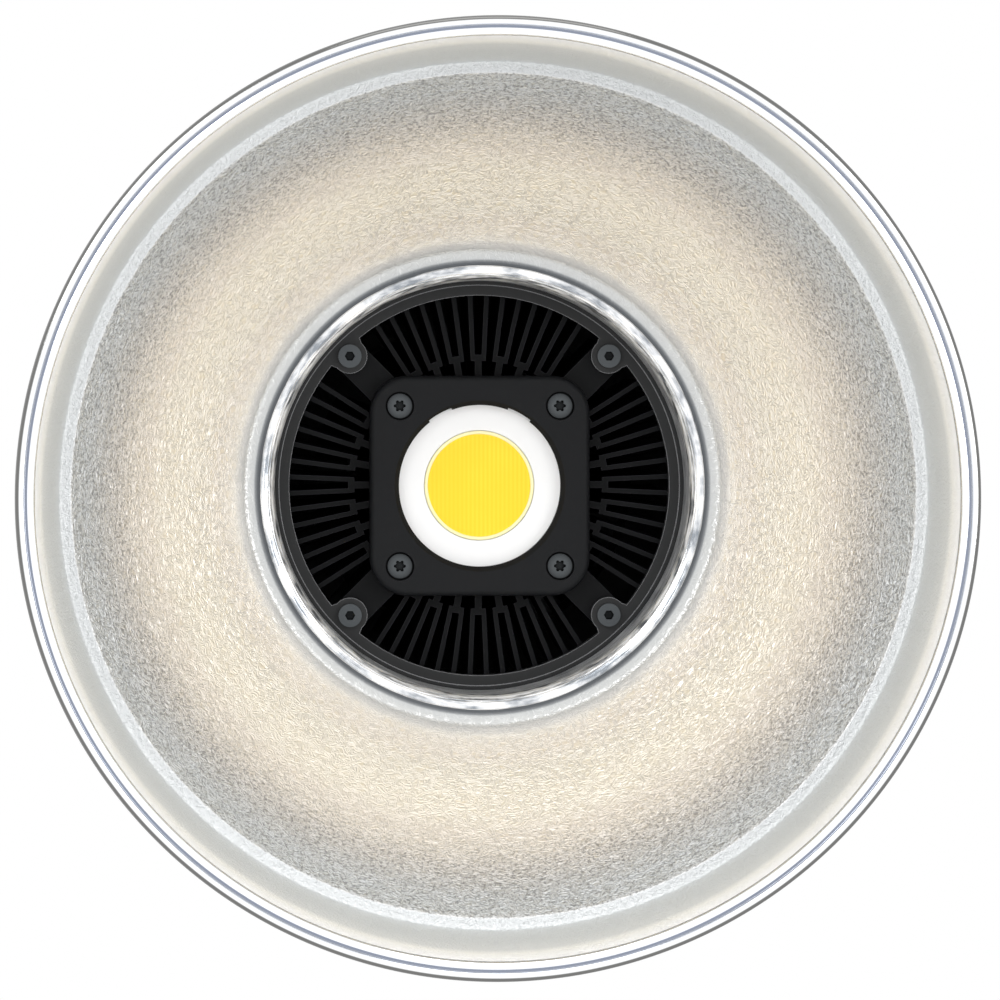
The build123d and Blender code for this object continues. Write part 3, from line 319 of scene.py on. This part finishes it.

# %% [markdown]
# ## Aluminium
#
# Spun and hammered aluminium is bare metal, and bare metal shows the room round it. That room isn't modelled, so
# each finish has painted reflections: tones that change with the distance from the axis, as rings of a bowl face
# different parts of a room. They are painted reflection and shade in the base colour, not real reflection, and they
# stay where they are when the light changes.
#
# The lining is hammered: its relief is noise folded into narrow ridges, and painted dark specks, painted shade in
# the grain, gather where the bowl looks away from the light. To the eye it is bright, soft and slightly warm.

# %% Hammered lining
GRAIN = 0.9  # millimetres from one hammered hollow to the next
RIDGE = 0.07  # the share of the noise's range that folds into one ridge
GRAIN_DEPTH = 0.15
SPECK = 0.7
WORKED = [
    (49.0, "#888888"), (52.0, "#A0A0A0"), (55.0, "#C8C8C8"), (62.0, "#E0E0E0"), (87.8, "#FFFFFF"),
    (88.4, "#404040"),
]
# Painted reflection and shade: tones by radius standing in for what the bowl mirrors, darkest at the throat, warm
# cream in the middle.
BOWL_PAINTED_REFLECTIONS = [
    (49.6, "#505356"), (50.1, "#74777A"), (50.5, "#AEB0B1"), (52.3, "#B6B7B6"), (53.4, "#E4E2DF"),
    (54.6, "#FDF9F2"), (56.0, "#FDF7EE"), (58.5, "#FBF4EA"), (61.5, "#FAF4E8"), (67.5, "#FAF3E5"),
    (70.4, "#F7F0E3"), (73.3, "#F2EADF"), (76.1, "#EAE3D9"), (79.1, "#D9D4CE"), (82.4, "#CAC9C7"),
    (85.1, "#C7C9CA"), (87.2, "#C4C6C6"), (88.2, "#C6C7C7"), (88.7, "#D0D2D3"),
]
# Painted shade: how strongly the specks darken the bowl at each radius, most where it looks away from the light.
SPECK_PAINTED_SHADE = [(52.0, "#282828"), (55.0, "#404040"), (72.0, "#404040"), (79.0, "#B8B8B8"), (88.5, "#B0B0B0")]
hammered, tree, shader = finish("hammered_aluminium", "#E8E6E2", metallic=0.6, roughness=0.34)
where = places(tree)
radius = axis_distance(tree)
coarse = add(tree, "TexNoise", {"Vector": where}, Scale=0.5 / GRAIN, Detail=1.0, Roughness=0.4, Distortion=0.5)
ridges = add(tree, "Math", {0: coarse.outputs["Fac"]}, operation="PINGPONG", _1=RIDGE)
height = add(tree, "Math", {0: ridges.outputs[0]}, operation="MULTIPLY", _1=1 / RIDGE)
worked = tones(tree, radius, WORKED)
relief = add(tree, "Bump", {"Height": height.outputs[0], "Strength": worked}, Distance=GRAIN_DEPTH * MM)
tree.links.new(relief.outputs[0], shader.inputs["Normal"])
specks = add(tree, "TexNoise", {"Vector": where}, Scale=1 / SPECK, Detail=2.0, Roughness=0.6, Distortion=0.4)
# Painted shade: the darker parts of the speck noise, mixed into the base colour below.
dark = add(tree, "MapRange", {"Value": specks.outputs["Fac"]}, From_Min=0.49, From_Max=0.62)
amount = add(tree, "Math", {0: dark.outputs[0], 1: tones(tree, radius, SPECK_PAINTED_SHADE)}, operation="MULTIPLY")
left = add(tree, "Math", {1: amount.outputs[0]}, operation="SUBTRACT", _0=1.0)
# The bowl's base colour: the painted reflection, darkened where the painted shade of the specks falls.
bowl_painted_shading = add(
    tree, "VectorMath", {0: tones(tree, radius, BOWL_PAINTED_REFLECTIONS), 1: left.outputs[0]}, operation="MULTIPLY"
)
tree.links.new(bowl_painted_shading.outputs[0], shader.inputs["Base Color"])
print(hammered.name, "with", len(BOWL_PAINTED_REFLECTIONS), "tones from throat to ledge")

# %% [markdown]
# The wall in front of the bowl was sanded, so it spreads the light and looks like satin; its tones are painted
# reflection, with a painted highlight along its outer fillet. The rim was burnished by the roller that closed it:
# it is a mirror with faint marks, and painted reflections give its rings light and dark lines.

# %% Satin wall and burnished rim
# Painted reflection: tones by radius on the satin wall, ending in a white painted highlight on the fillet at its
# edge.
SATIN_PAINTED_REFLECTIONS = [
    (87.5, "#C3C5C7"), (90.2, "#CACCCD"), (91.0, "#C6C8C7"), (92.4, "#CBCDCC"), (93.4, "#D6D7D5"),
    (93.9, "#F2F1EC"), (94.6, "#FFFFFF"),
]
# Painted reflection: light, bluish and dark rings by radius on the rolled rim, the darkest near its outer edge.
RIM_PAINTED_REFLECTIONS = [
    (94.6, "#D9DADA"), (95.4, "#DDDEDF"), (96.1, "#D8DADF"), (96.4, "#B2B6BF"), (96.95, "#B2B6BF"),
    (97.2, "#DFE0E1"), (97.8, "#D6D7D8"), (98.0, "#656564"), (98.45, "#656564"), (98.75, "#A8A8A8"),
]
satin, tree, shader = finish("satin_aluminium", "#D0D2D1", metallic=0.7, roughness=0.45)
tree.links.new(tones(tree, axis_distance(tree), SATIN_PAINTED_REFLECTIONS), shader.inputs["Base Color"])
fine = add(tree, "TexNoise", {"Vector": places(tree)}, Scale=1.5, Detail=3.0, Roughness=0.7)
bump(tree, shader, fine.outputs["Fac"], depth_mm=0.55)
tree.links.new(spread(tree, fine.outputs["Fac"], 0.36, 0.50), shader.inputs["Roughness"])

burnished, tree, shader = finish("burnished_aluminium", "#DDDEDF", metallic=1.0, roughness=0.09)
# The painted reflection is the rim's base colour and tints its highlights too.
rim_painted_reflection = tones(tree, axis_distance(tree), RIM_PAINTED_REFLECTIONS)
tree.links.new(rim_painted_reflection, shader.inputs["Base Color"])
tree.links.new(rim_painted_reflection, shader.inputs["Specular Tint"])
marks = add(tree, "TexNoise", {"Vector": places(tree)}, Scale=0.6, Detail=4.0, Distortion=0.6)
bump(tree, shader, marks.outputs["Fac"], depth_mm=0.02)
tree.links.new(spread(tree, marks.outputs["Fac"], 0.05, 0.16), shader.inputs["Roughness"])
print(satin.name, "and", burnished.name)

# %% [markdown]
# A lathe leaves fine rings, and twisting the reflector on and off leaves streaks along them; their light and dark
# tones are partly painted reflection. The back of the bowl is plain spun metal; the collar is polished outside and
# bored, duller and darker, inside; the sheet's hidden edge is painted dark, as painted shade where it meets the
# collar.

# %% Turned finishes
WAVE_RING = 0.314  # the spacing of the Wave texture's rings at scale 1: 2 pi / 20


def turning_marks(tree, pitch):
    """Fine rings about the optical axis, a pitch apart in millimetres: the Wave texture's spherical rings on
    coordinates centred on the axis and squashed along it."""
    where = add(tree, "TexCoord").outputs["Object"]
    squashed = (1 / MM, 0.4 / MM, 1 / MM)
    centred = add(tree, "Mapping", {"Vector": where}, Location=(0, 0, -AXIS_Z), Scale=squashed)
    return add(
        tree, "TexWave", {"Vector": centred.outputs[0]}, wave_type="RINGS", rings_direction="SPHERICAL",
        Scale=WAVE_RING / pitch, Distortion=1.5, Detail=2.0, Detail_Scale=0.8,
    ).outputs["Fac"]


def wear_and_reflection_streaks(tree, length_mm, width_mm, low, high):
    """Noise stretched round the optical axis: marks of that length along the turn and width across it, mixed from
    the colour low to the colour high. The marks are partly wear and partly painted reflection."""
    where = add(tree, "TexCoord").outputs["Object"]
    flat = add(tree, "Mapping", {"Vector": where}, Location=(0, 0, -AXIS_Z), Scale=(1 / MM,) * 3)
    parts = add(tree, "SeparateXYZ", {"Vector": flat.outputs[0]})
    turn = add(tree, "Math", {0: parts.outputs["Z"], 1: parts.outputs["X"]}, operation="ARCTAN2")
    along = add(tree, "Math", {0: turn.outputs[0]}, operation="MULTIPLY", _1=BORE_R / length_mm)
    across = add(tree, "Math", {0: parts.outputs["Y"]}, operation="MULTIPLY", _1=1 / width_mm)
    spot = add(tree, "CombineXYZ", {"X": along.outputs[0], "Y": across.outputs[0]})
    noise = add(tree, "TexNoise", {"Vector": spot.outputs[0]}, Scale=1.0, Detail=3.0, Roughness=0.6)
    ramp = add(tree, "ValToRGB", {"Fac": noise.outputs["Fac"]})
    for stop, place, color in zip(ramp.color_ramp.elements, (0.38, 0.58), (low, high)):
        stop.position, stop.color = place, linear(color)
    return ramp.outputs["Color"]


MOUTH_R, MOUTH_ROLL, LIP_Y = 49.1, 3.0, -48.9  # the collar's front lip and the round from it into the bore
LIP_FLAT = 0.3
BORE_R = MOUTH_R - LIP_FLAT - MOUTH_ROLL

spun, tree, shader = finish("spun_aluminium", "#A9ABAC", metallic=1.0, roughness=0.32)
bump(tree, shader, turning_marks(tree, 0.9), depth_mm=0.03)

polished, tree, shader = finish("polished_turned_aluminium", "#DCDDDF", metallic=0.9, roughness=0.16)
# Painted reflection in part: light and dark grey streaks in the collar's polish.
tree.links.new(wear_and_reflection_streaks(tree, 9.0, 0.7, "#83888E", "#E2E3E5"), shader.inputs["Base Color"])
bump(tree, shader, turning_marks(tree, 0.5), depth_mm=0.03)

bored, tree, shader = finish("bored_aluminium", "#B9BBBD", metallic=0.5, roughness=0.42)
# Painted reflection in part: dark and light streaks in the bore.
tree.links.new(wear_and_reflection_streaks(tree, 7.0, 1.0, "#4A4E54", "#D0D2D5"), shader.inputs["Base Color"])
bump(tree, shader, turning_marks(tree, 0.7), depth_mm=0.05)

# Painted shade: a dark band where the sheet's edge goes under the collar, standing in for the seam's shadow.
seam_painted_shade, tree, shader = finish("seam_painted_shade_aluminium", "#55585C", metallic=0.8, roughness=0.45)
bump(tree, shader, turning_marks(tree, 0.4), depth_mm=0.02)
print(f"four turned finishes; the collar's bore is {BORE_R:.1f} mm in radius")

# %% [markdown]
# The coarse part of the hammering is a random height field. Filtering white noise in the frequency domain keeps
# only waves of about one length, which is what repeated blows of one hammer leave.


# %% Hammered height field
BELL_WIDTH = 0.35


def hammer_field(rows, columns, row_step, column_step, wavelength, seed=5):
    """White noise whose spectrum is multiplied by a bell about 1/wavelength, brought to unit spread. It closes on
    itself along the columns, so it can be wrapped round an axis."""
    noise = np.random.default_rng(seed).standard_normal((rows, columns))
    along_rows = np.fft.fftfreq(rows, row_step)[:, None]
    along_columns = np.fft.fftfreq(columns, column_step)[None, :]
    frequency = np.hypot(along_rows, along_columns) * wavelength
    bell = np.exp(-(((frequency - 1) / BELL_WIDTH) ** 2))
    field = np.fft.ifft2(np.fft.fft2(noise) * bell).real
    return field / field.std()


SEGMENTS = 480
HAMMER_DEPTH = 0.006  # millimetres from the smooth bowl, as a root mean square
HAMMER_WAVE = 2.8
MEAN_R = 70
FADE_LENGTH = 2.5
turn = full_circle(SEGMENTS)
bowl_grid = revolved(bowl_profile, turn)
radius_along = bowl_profile[:, 0]
on_front = np.arange(len(bowl_profile)) < len(front)
past_throat = radius_along - THROAT_R - 0.8
before_ledge = LEDGE_IN_R - 0.4 - radius_along
fade = np.clip(np.minimum(past_throat, before_ledge) / FADE_LENGTH, 0, 1) * on_front
tangent = unit_tangents(bowl_profile)
height = hammer_field(
    len(bowl_profile), SEGMENTS, SECTION_STEP, 2 * np.pi * MEAN_R / SEGMENTS, HAMMER_WAVE
)
push = (height * fade[:, None] * HAMMER_DEPTH)[..., None]
normal = np.stack(
    [tangent[:, 1:] * np.cos(turn), -tangent[:, :1] + 0 * turn, tangent[:, 1:] * np.sin(turn)], axis=-1
)
bowl_grid += push * normal
print(f"hammered by up to {np.abs(push).max():.3f} mm")

# %% [markdown]
# One mesh is the whole sheet, so each row of its faces says which finish it has: painted dark under the collar as
# painted shade, then hammered, satin, burnished, and plain spun metal at the back.

# %% Bowl surface
# Painted shade: inside this radius the sheet is given the dark seam finish.
SEAM_R = 49.65  # inside this the sheet's edge is tucked under the collar, in shadow
BURNISHED_Y = -134.0
row = np.arange(len(bowl_profile))
bands = np.select(
    [on_front & (radius_along < SEAM_R), on_front & (radius_along < LEDGE_IN_R),
     on_front & (bowl_profile[:, 1] > BURNISHED_Y), row < len(front) + len(inner_bead) + len(outer_bead)],
    [4, 0, 1, 2],
    default=3,
)
bowl = surface(
    "reflector_bowl", bowl_grid, "reflector",
    [hammered, satin, burnished, spun, seam_painted_shade], bands, sharp=50,
)
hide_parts("reflector_dish")

# %% [markdown]
# ## The collar
#
# The collar is turned from solid and polished. Its flange carries the bowl, whose edge is rolled over its
# front lip, and three tabs on its neck lock it into the lamp. The dimple that the lamp's spring drops into, in
# one tab of a real collar, is out of sight and isn't made here.

# %% Collar
COLLAR_SEGMENTS = 360
NECK_END_Y, NECK_R = -30.8, 48.9
COLLAR_FLANGE_R, COLLAR_FLANGE_BACK_Y, COLLAR_FLANGE_FRONT_Y = 57.0, -44.2, -47.0
GROOVE_R = 48.6  # the sheet's edge is held in this groove
roll = arc((MOUTH_R - LIP_FLAT, LIP_Y + MOUTH_ROLL), MOUTH_ROLL, 270, 180, 19)
collar_corners = [
    (BORE_R, NECK_END_Y), (NECK_R, NECK_END_Y), (NECK_R, COLLAR_FLANGE_BACK_Y),
    (COLLAR_FLANGE_R, COLLAR_FLANGE_BACK_Y), (COLLAR_FLANGE_R, COLLAR_FLANGE_FRONT_Y),
    (GROOVE_R, COLLAR_FLANGE_FRONT_Y), (GROOVE_R, FLANGE_Y),
    (MOUTH_R, FLANGE_Y), (MOUTH_R, LIP_Y + 0.3), (MOUTH_R - LIP_FLAT, LIP_Y),
]
corner_radii = [0.3, 0.3, 0.3, 0.3, 0.3, 0.05, 0.05, 0.1, 0.12, 0.05]
behind = rounded([roll[-1], *collar_corners, roll[1]], corner_radii, step=2.0)
collar_profile = np.concatenate([roll, behind[1:-1]])
in_bore = (collar_profile[:, 0] < BORE_R + 1.2) & (collar_profile[:, 1] < NECK_END_Y - 0.2)
collar = surface(
    "reflector_collar_turned", revolved(collar_profile, full_circle(COLLAR_SEGMENTS)), "reflector",
    [polished, bored], in_bore.astype(int),
)
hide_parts("reflector_collar")

# %% [markdown]
# A tab is the same kind of shape as the collar, a section carried round the axis, but only through 24 degrees, so
# it needs a flat end at each side.

# %% Collar tabs
TAB_ANGLE = 24.0
tab_profile = rounded(
    [(50.5, -39.6), (52.6, -39.6), (52.6, -36.6), (48.5, -36.6), (48.5, -39.6), (50.4, -39.6)],
    [0.35, 0.35, 0.05, 0.05],
    step=1.0,
)
for middle in (90, 210, 330):
    turn = np.radians(np.linspace(middle - TAB_ANGLE / 2, middle + TAB_ANGLE / 2, 25))
    surface(
        f"collar_tab_{middle}", revolved(tab_profile, turn), "reflector", [polished],
        capped=True,
    )

# %% [markdown]
# ## Black parts of the head
#
# The heat sink, bezel ring and screws are black for one reason: bare metal here would throw stray light back
# through the bowl. The heat sink and ring are anodised, which keeps the metal's fine texture; the cover is a
# moulded plastic with a spark-eroded texture; the screws are black zinc, a little shinier and greyer.

# %% Black finishes
def painted_edge_highlights(tree, shader, color, highlight_color, width_mm=0.25):
    """Painted highlights on edges, thin light lines where a real edge would catch the light. A bevelled normal
    departs from the true one only near an edge, and the departure mixes in the highlight's colour."""
    bevelled = add(tree, "Bevel", samples=6, Radius=width_mm * MM).outputs[0]
    true = add(tree, "NewGeometry").outputs["Normal"]
    along = add(tree, "VectorMath", {0: bevelled, 1: true}, operation="DOT_PRODUCT").outputs["Value"]
    edge = add(tree, "MapRange", {"Value": along}, From_Min=0.99, From_Max=0.88)
    mixed = add(tree, "MixRGB", {"Fac": edge.outputs[0]}, Color1=linear(color), Color2=linear(highlight_color))
    tree.links.new(mixed.outputs[0], shader.inputs["Base Color"])


def painted_hollow_shade(tree, shader, color, reach_mm=1.6):
    """Painted shade in sockets and gaps: the colour fades as the space in front of a point closes up."""
    open_share = add(tree, "AmbientOcclusion", samples=8, Distance=reach_mm * MM).outputs["AO"]
    sharp = add(tree, "Math", {0: open_share}, operation="POWER", _1=2.5)
    shaded = add(tree, "VectorMath", {1: sharp.outputs[0]}, operation="MULTIPLY", _0=linear(color)[:3])
    tree.links.new(shaded.outputs[0], shader.inputs["Base Color"])


anodised, tree, shader = finish("black_anodised_aluminium", "#151617", roughness=0.42, Specular_IOR_Level=0.3)
# Painted highlight: thin light grey lines along the anodised edges.
painted_edge_highlights(tree, shader, "#151617", "#8E8F92")
grain = add(tree, "TexNoise", {"Vector": places(tree)}, Scale=3.0, Detail=3.0)
bump(tree, shader, grain.outputs["Fac"], depth_mm=0.02)
tree.links.new(spread(tree, grain.outputs["Fac"], 0.36, 0.50), shader.inputs["Roughness"])

# Painted shade: a darker copy of the anodised black for the heat sink, whose deep gaps look blacker than the ring.
sink_painted_shade_black, tree, shader = finish("heat_sink_painted_shade_black", "#040507", roughness=0.5, Specular_IOR_Level=0.12)
# Painted highlight: faint grey lines along the edges of the heat sink's fins.
painted_edge_highlights(tree, shader, "#040507", "#303136", width_mm=0.15)
print(anodised.name, "and", sink_painted_shade_black.name)

# %% [markdown]
# The housing and knobs are moulded plastic, whose texture comes from the tool that it was moulded in, and the
# castings are powder coated. Screws and springs are plated steel with faint handling marks.


# %% Plastics and plated metal
def moulded(name, color, roughness, texture=0.7, depth_mm=0.03, shine=0.5):
    """Spark-textured plastic: a base colour with a fine even grain, a texture length apart in millimetres."""
    material, tree, shader = finish(name, color, roughness=roughness, Specular_IOR_Level=shine)
    skin = add(tree, "TexNoise", {"Vector": places(tree)}, Scale=1 / texture, Detail=3.0, Roughness=0.6)
    bump(tree, shader, skin.outputs["Fac"], depth_mm=depth_mm)
    tree.links.new(
        spread(tree, skin.outputs["Fac"], roughness - 0.08, roughness + 0.08), shader.inputs["Roughness"]
    )
    return material


def metal(name, color, roughness):
    """Bare or plated metal with faint handling marks, from a millimetre down to a few hundredths wide."""
    material, tree, shader = finish(name, color, metallic=1.0, roughness=roughness)
    marks = add(tree, "TexNoise", {"Vector": places(tree)}, Scale=0.8, Detail=5.0, Distortion=1.0)
    bump(tree, shader, marks.outputs["Fac"], depth_mm=0.01)
    tree.links.new(
        spread(tree, marks.outputs["Fac"], roughness - 0.06, roughness + 0.10), shader.inputs["Roughness"]
    )
    return material


# Matt and even, where the metal round it shows painted highlights on its edges.
cover_plastic = moulded("black_glass_filled_nylon", "#151618", 0.50, texture=0.5, shine=0.1)
# A soft sheen over an even texture; the rear panel's is finer, so it is a touch glossier.
housing_plastic = moulded("charcoal_abs", "#1F2022", 0.52, texture=0.8, depth_mm=0.05, shine=0.3)
panel_plastic = moulded("charcoal_panel_abs", "#232427", 0.46, texture=0.6, shine=0.35)
# Smooth enough for a highlight along a knob's ribs, a fan's blades or a socket's edge.
knob_plastic = moulded("black_knob_nylon", "#161719", 0.42, texture=0.6, shine=0.35)
fan_plastic = moulded("black_pbt", "#18191B", 0.35, texture=1.5, depth_mm=0.01)
component_plastic = moulded("black_component_plastic", "#141516", 0.38, texture=1.0, depth_mm=0.01)
# Rubber has no highlight to speak of: only its tone and its grain show.
button_rubber = moulded("grey_silicone_rubber", "#55575A", 0.60, texture=0.9, depth_mm=0.01)
grip_rubber = moulded("black_grip_rubber", "#232426", 0.72, texture=0.9, depth_mm=0.06)
# Orange-peel waves that break up the highlights on the castings.
powder_coat = moulded("black_powder_coat", "#191A1C", 0.40, texture=1.3, depth_mm=0.06, shine=0.35)
# Dark and slightly oily, with painted shade that turns its sockets black; plain zinc is bright and bluish; brass is
# the warm one.
black_zinc = metal("black_zinc_steel", "#45484A", 0.34)
zinc_nodes = black_zinc.node_tree
# Painted shade: the screws' sockets and the gaps round them go dark.
painted_hollow_shade(zinc_nodes, zinc_nodes.nodes["Principled BSDF"], "#45484A")
zinc_plate = metal("zinc_plated_steel", "#C3C5C8", 0.24)
turned_brass = metal("turned_brass", "#C9A35B", 0.26)
print("nine plastics and rubbers, three plated or turned metals")

# %% [markdown]
# ## The light source
#
# Unlit, the light source is a disc of yellow silicone: a phosphor that turns the blue of the chips under it
# into white. Round it lies a low dam of clear silicone, and then a white plastic ring that throws stray light
# forwards. The phosphor is not quite even, because rows of chips lie under it.

# %% Light source finishes
phosphor, tree, shader = finish("phosphor_silicone", "#F4CE1C", roughness=0.38, Specular_IOR_Level=0.35)
where = places(tree)
chips = add(
    tree, "TexWave", {"Vector": where}, wave_type="BANDS", bands_direction="X", Scale=0.33, Distortion=0.2
)
cloudy = add(tree, "TexNoise", {"Vector": where}, Scale=0.12, Detail=1.0)
amount = add(tree, "Math", {0: chips.outputs["Fac"], 1: cloudy.outputs["Fac"]}, operation="MULTIPLY")
tone = add(tree, "ValToRGB", {"Fac": amount.outputs[0]})
for stop, color in zip(tone.color_ramp.elements, ("#F4C814", "#F6D430")):
    stop.color = linear(color)
tree.links.new(tone.outputs["Color"], shader.inputs["Base Color"])
bump(tree, shader, cloudy.outputs["Fac"], depth_mm=0.02)

white_plastic = moulded("white_polycarbonate", "#E4E5E7", 0.48, texture=1.2, depth_mm=0.01)
dam_silicone = moulded("clear_dam_silicone", "#EFE7B4", 0.30, texture=1.5, depth_mm=0.02)
alumina = moulded("white_alumina", "#ECEBE6", 0.40, texture=0.6, depth_mm=0.01)
thermal_pad = moulded("grey_thermal_pad", "#8F9398", 0.70, texture=1.0, depth_mm=0.01)
fibre = moulded("brown_friction_fibre", "#7A6650", 0.80, texture=0.5, depth_mm=0.04)
solder_mask = moulded("dark_green_solder_mask", "#0A100C", 0.35, texture=2.0, depth_mm=0.01, shine=0.2)
dark_gloss = moulded("dark_gloss_plastic", "#0E0F11", 0.10, texture=4.0, depth_mm=0.004)
smoked = finish(
    "smoked_acrylic", "#22262A", roughness=0.06, Transmission_Weight=0.25, Coat_Weight=0.4
)[0]
print(phosphor.name, "and the pieces round and behind it")

# %% [markdown]
# ## A finish for every piece
#
# The frame's record gives each piece a material slot, named for what the piece is made of. One table turns those
# names into the finishes above. Only the heat sink differs from its slot: it gets a darker copy of the anodised
# black, painted shade for its deep gaps, which look blacker than the ring.

# %% Finishes for the pieces from the frame
FINISHES = {
    "black_casting": powder_coat, "spring_steel": zinc_plate, "black_anodised": anodised,
    "dark_screws": black_zinc, "black_cover": cover_plastic, "thermal_pad": thermal_pad,
    "ceramic_white": alumina, "phosphor": phosphor, "dam_silicone": dam_silicone,
    "white_plastic": white_plastic, "housing_plastic": housing_plastic, "fan_plastic": fan_plastic,
    "panel_plastic": panel_plastic, "display_window": smoked, "display_dark": dark_gloss,
    "circuit_board": solder_mask, "component_black": component_plastic, "plain_steel": zinc_plate,
    "knob_plastic": knob_plastic, "button_rubber": button_rubber, "rocker_plastic": dark_gloss,
    "grip_rubber": grip_rubber, "friction_fibre": fibre, "brass_pad": turned_brass,
    "reflector_aluminium": spun, "polished_aluminium": polished,
}
slot_of = {part["node"]: part["material_slot"] for part in frame["record"]["subparts"]}
for name, node in frame["nodes"].items():
    node.data.materials.clear()
    node.data.materials.append(sink_painted_shade_black if name == "heat_sink" else FINISHES[slot_of[name]])
print(len(FINISHES), "finishes on", len(frame["nodes"]), "nodes")

# %% [markdown]
# ## Studio
#
# The lamp hangs in a white room with no floor, so it can be seen from any side, and from below. Seen directly the
# room is pure white; as light it is brighter than that and almost even, as in a light tent, which keeps bare metal
# pale. Two wide soft lights stand beside the camera and one hangs overhead to give the black pieces highlights.

# %% Room
ROOM_FRONT, ROOM_BACK = 1.55, 1.6  # the room's light behind the camera and behind the lamp
world = bpy.data.worlds.new("room")
bpy.context.scene.world = world
world.use_nodes = True
tree = world.node_tree
sky = tree.nodes["Background"]
facing = add(tree, "SeparateXYZ", {"Vector": add(tree, "TexCoord").outputs["Generated"]})
shade = add(tree, "ValToRGB", {"Fac": spread(tree, facing.outputs["Y"], 0, 1)})
for stop, level in zip(shade.color_ramp.elements, (ROOM_FRONT, ROOM_BACK)):
    stop.color = (level, level, level, 1)
seen = add(tree, "LightPath").outputs["Is Camera Ray"]
room = add(tree, "MixRGB", {"Fac": seen, "Color1": shade.outputs["Color"]}, Color2=(1, 1, 1, 1))
tree.links.new(room.outputs[0], sky.inputs["Color"])
print(f"room light {ROOM_FRONT} in front, {ROOM_BACK} behind")

# %% [markdown]
# Each lamp is a large square of light: its size makes the shadows soft, and its distance keeps them even.


# %% Soft lights
def soft_light(name, place, size, power):
    """A square area light at a place in metres, its side in metres and its power in watts, aimed at the rim."""
    lamp = bpy.data.objects.new(name, bpy.data.lights.new(name, "AREA"))
    lamp.data.size, lamp.data.energy = size, power
    bpy.context.scene.collection.objects.link(lamp)
    point_at(lamp, np.array(place), rim_centre)


soft_light("key", (-1.5, -2.2, 1.3), 1.2, 26)
soft_light("fill", (1.7, -2.0, 0.6), 1.4, 22)
soft_light("top", (0.0, -0.6, 2.0), 1.2, 8)
print("three soft lights")
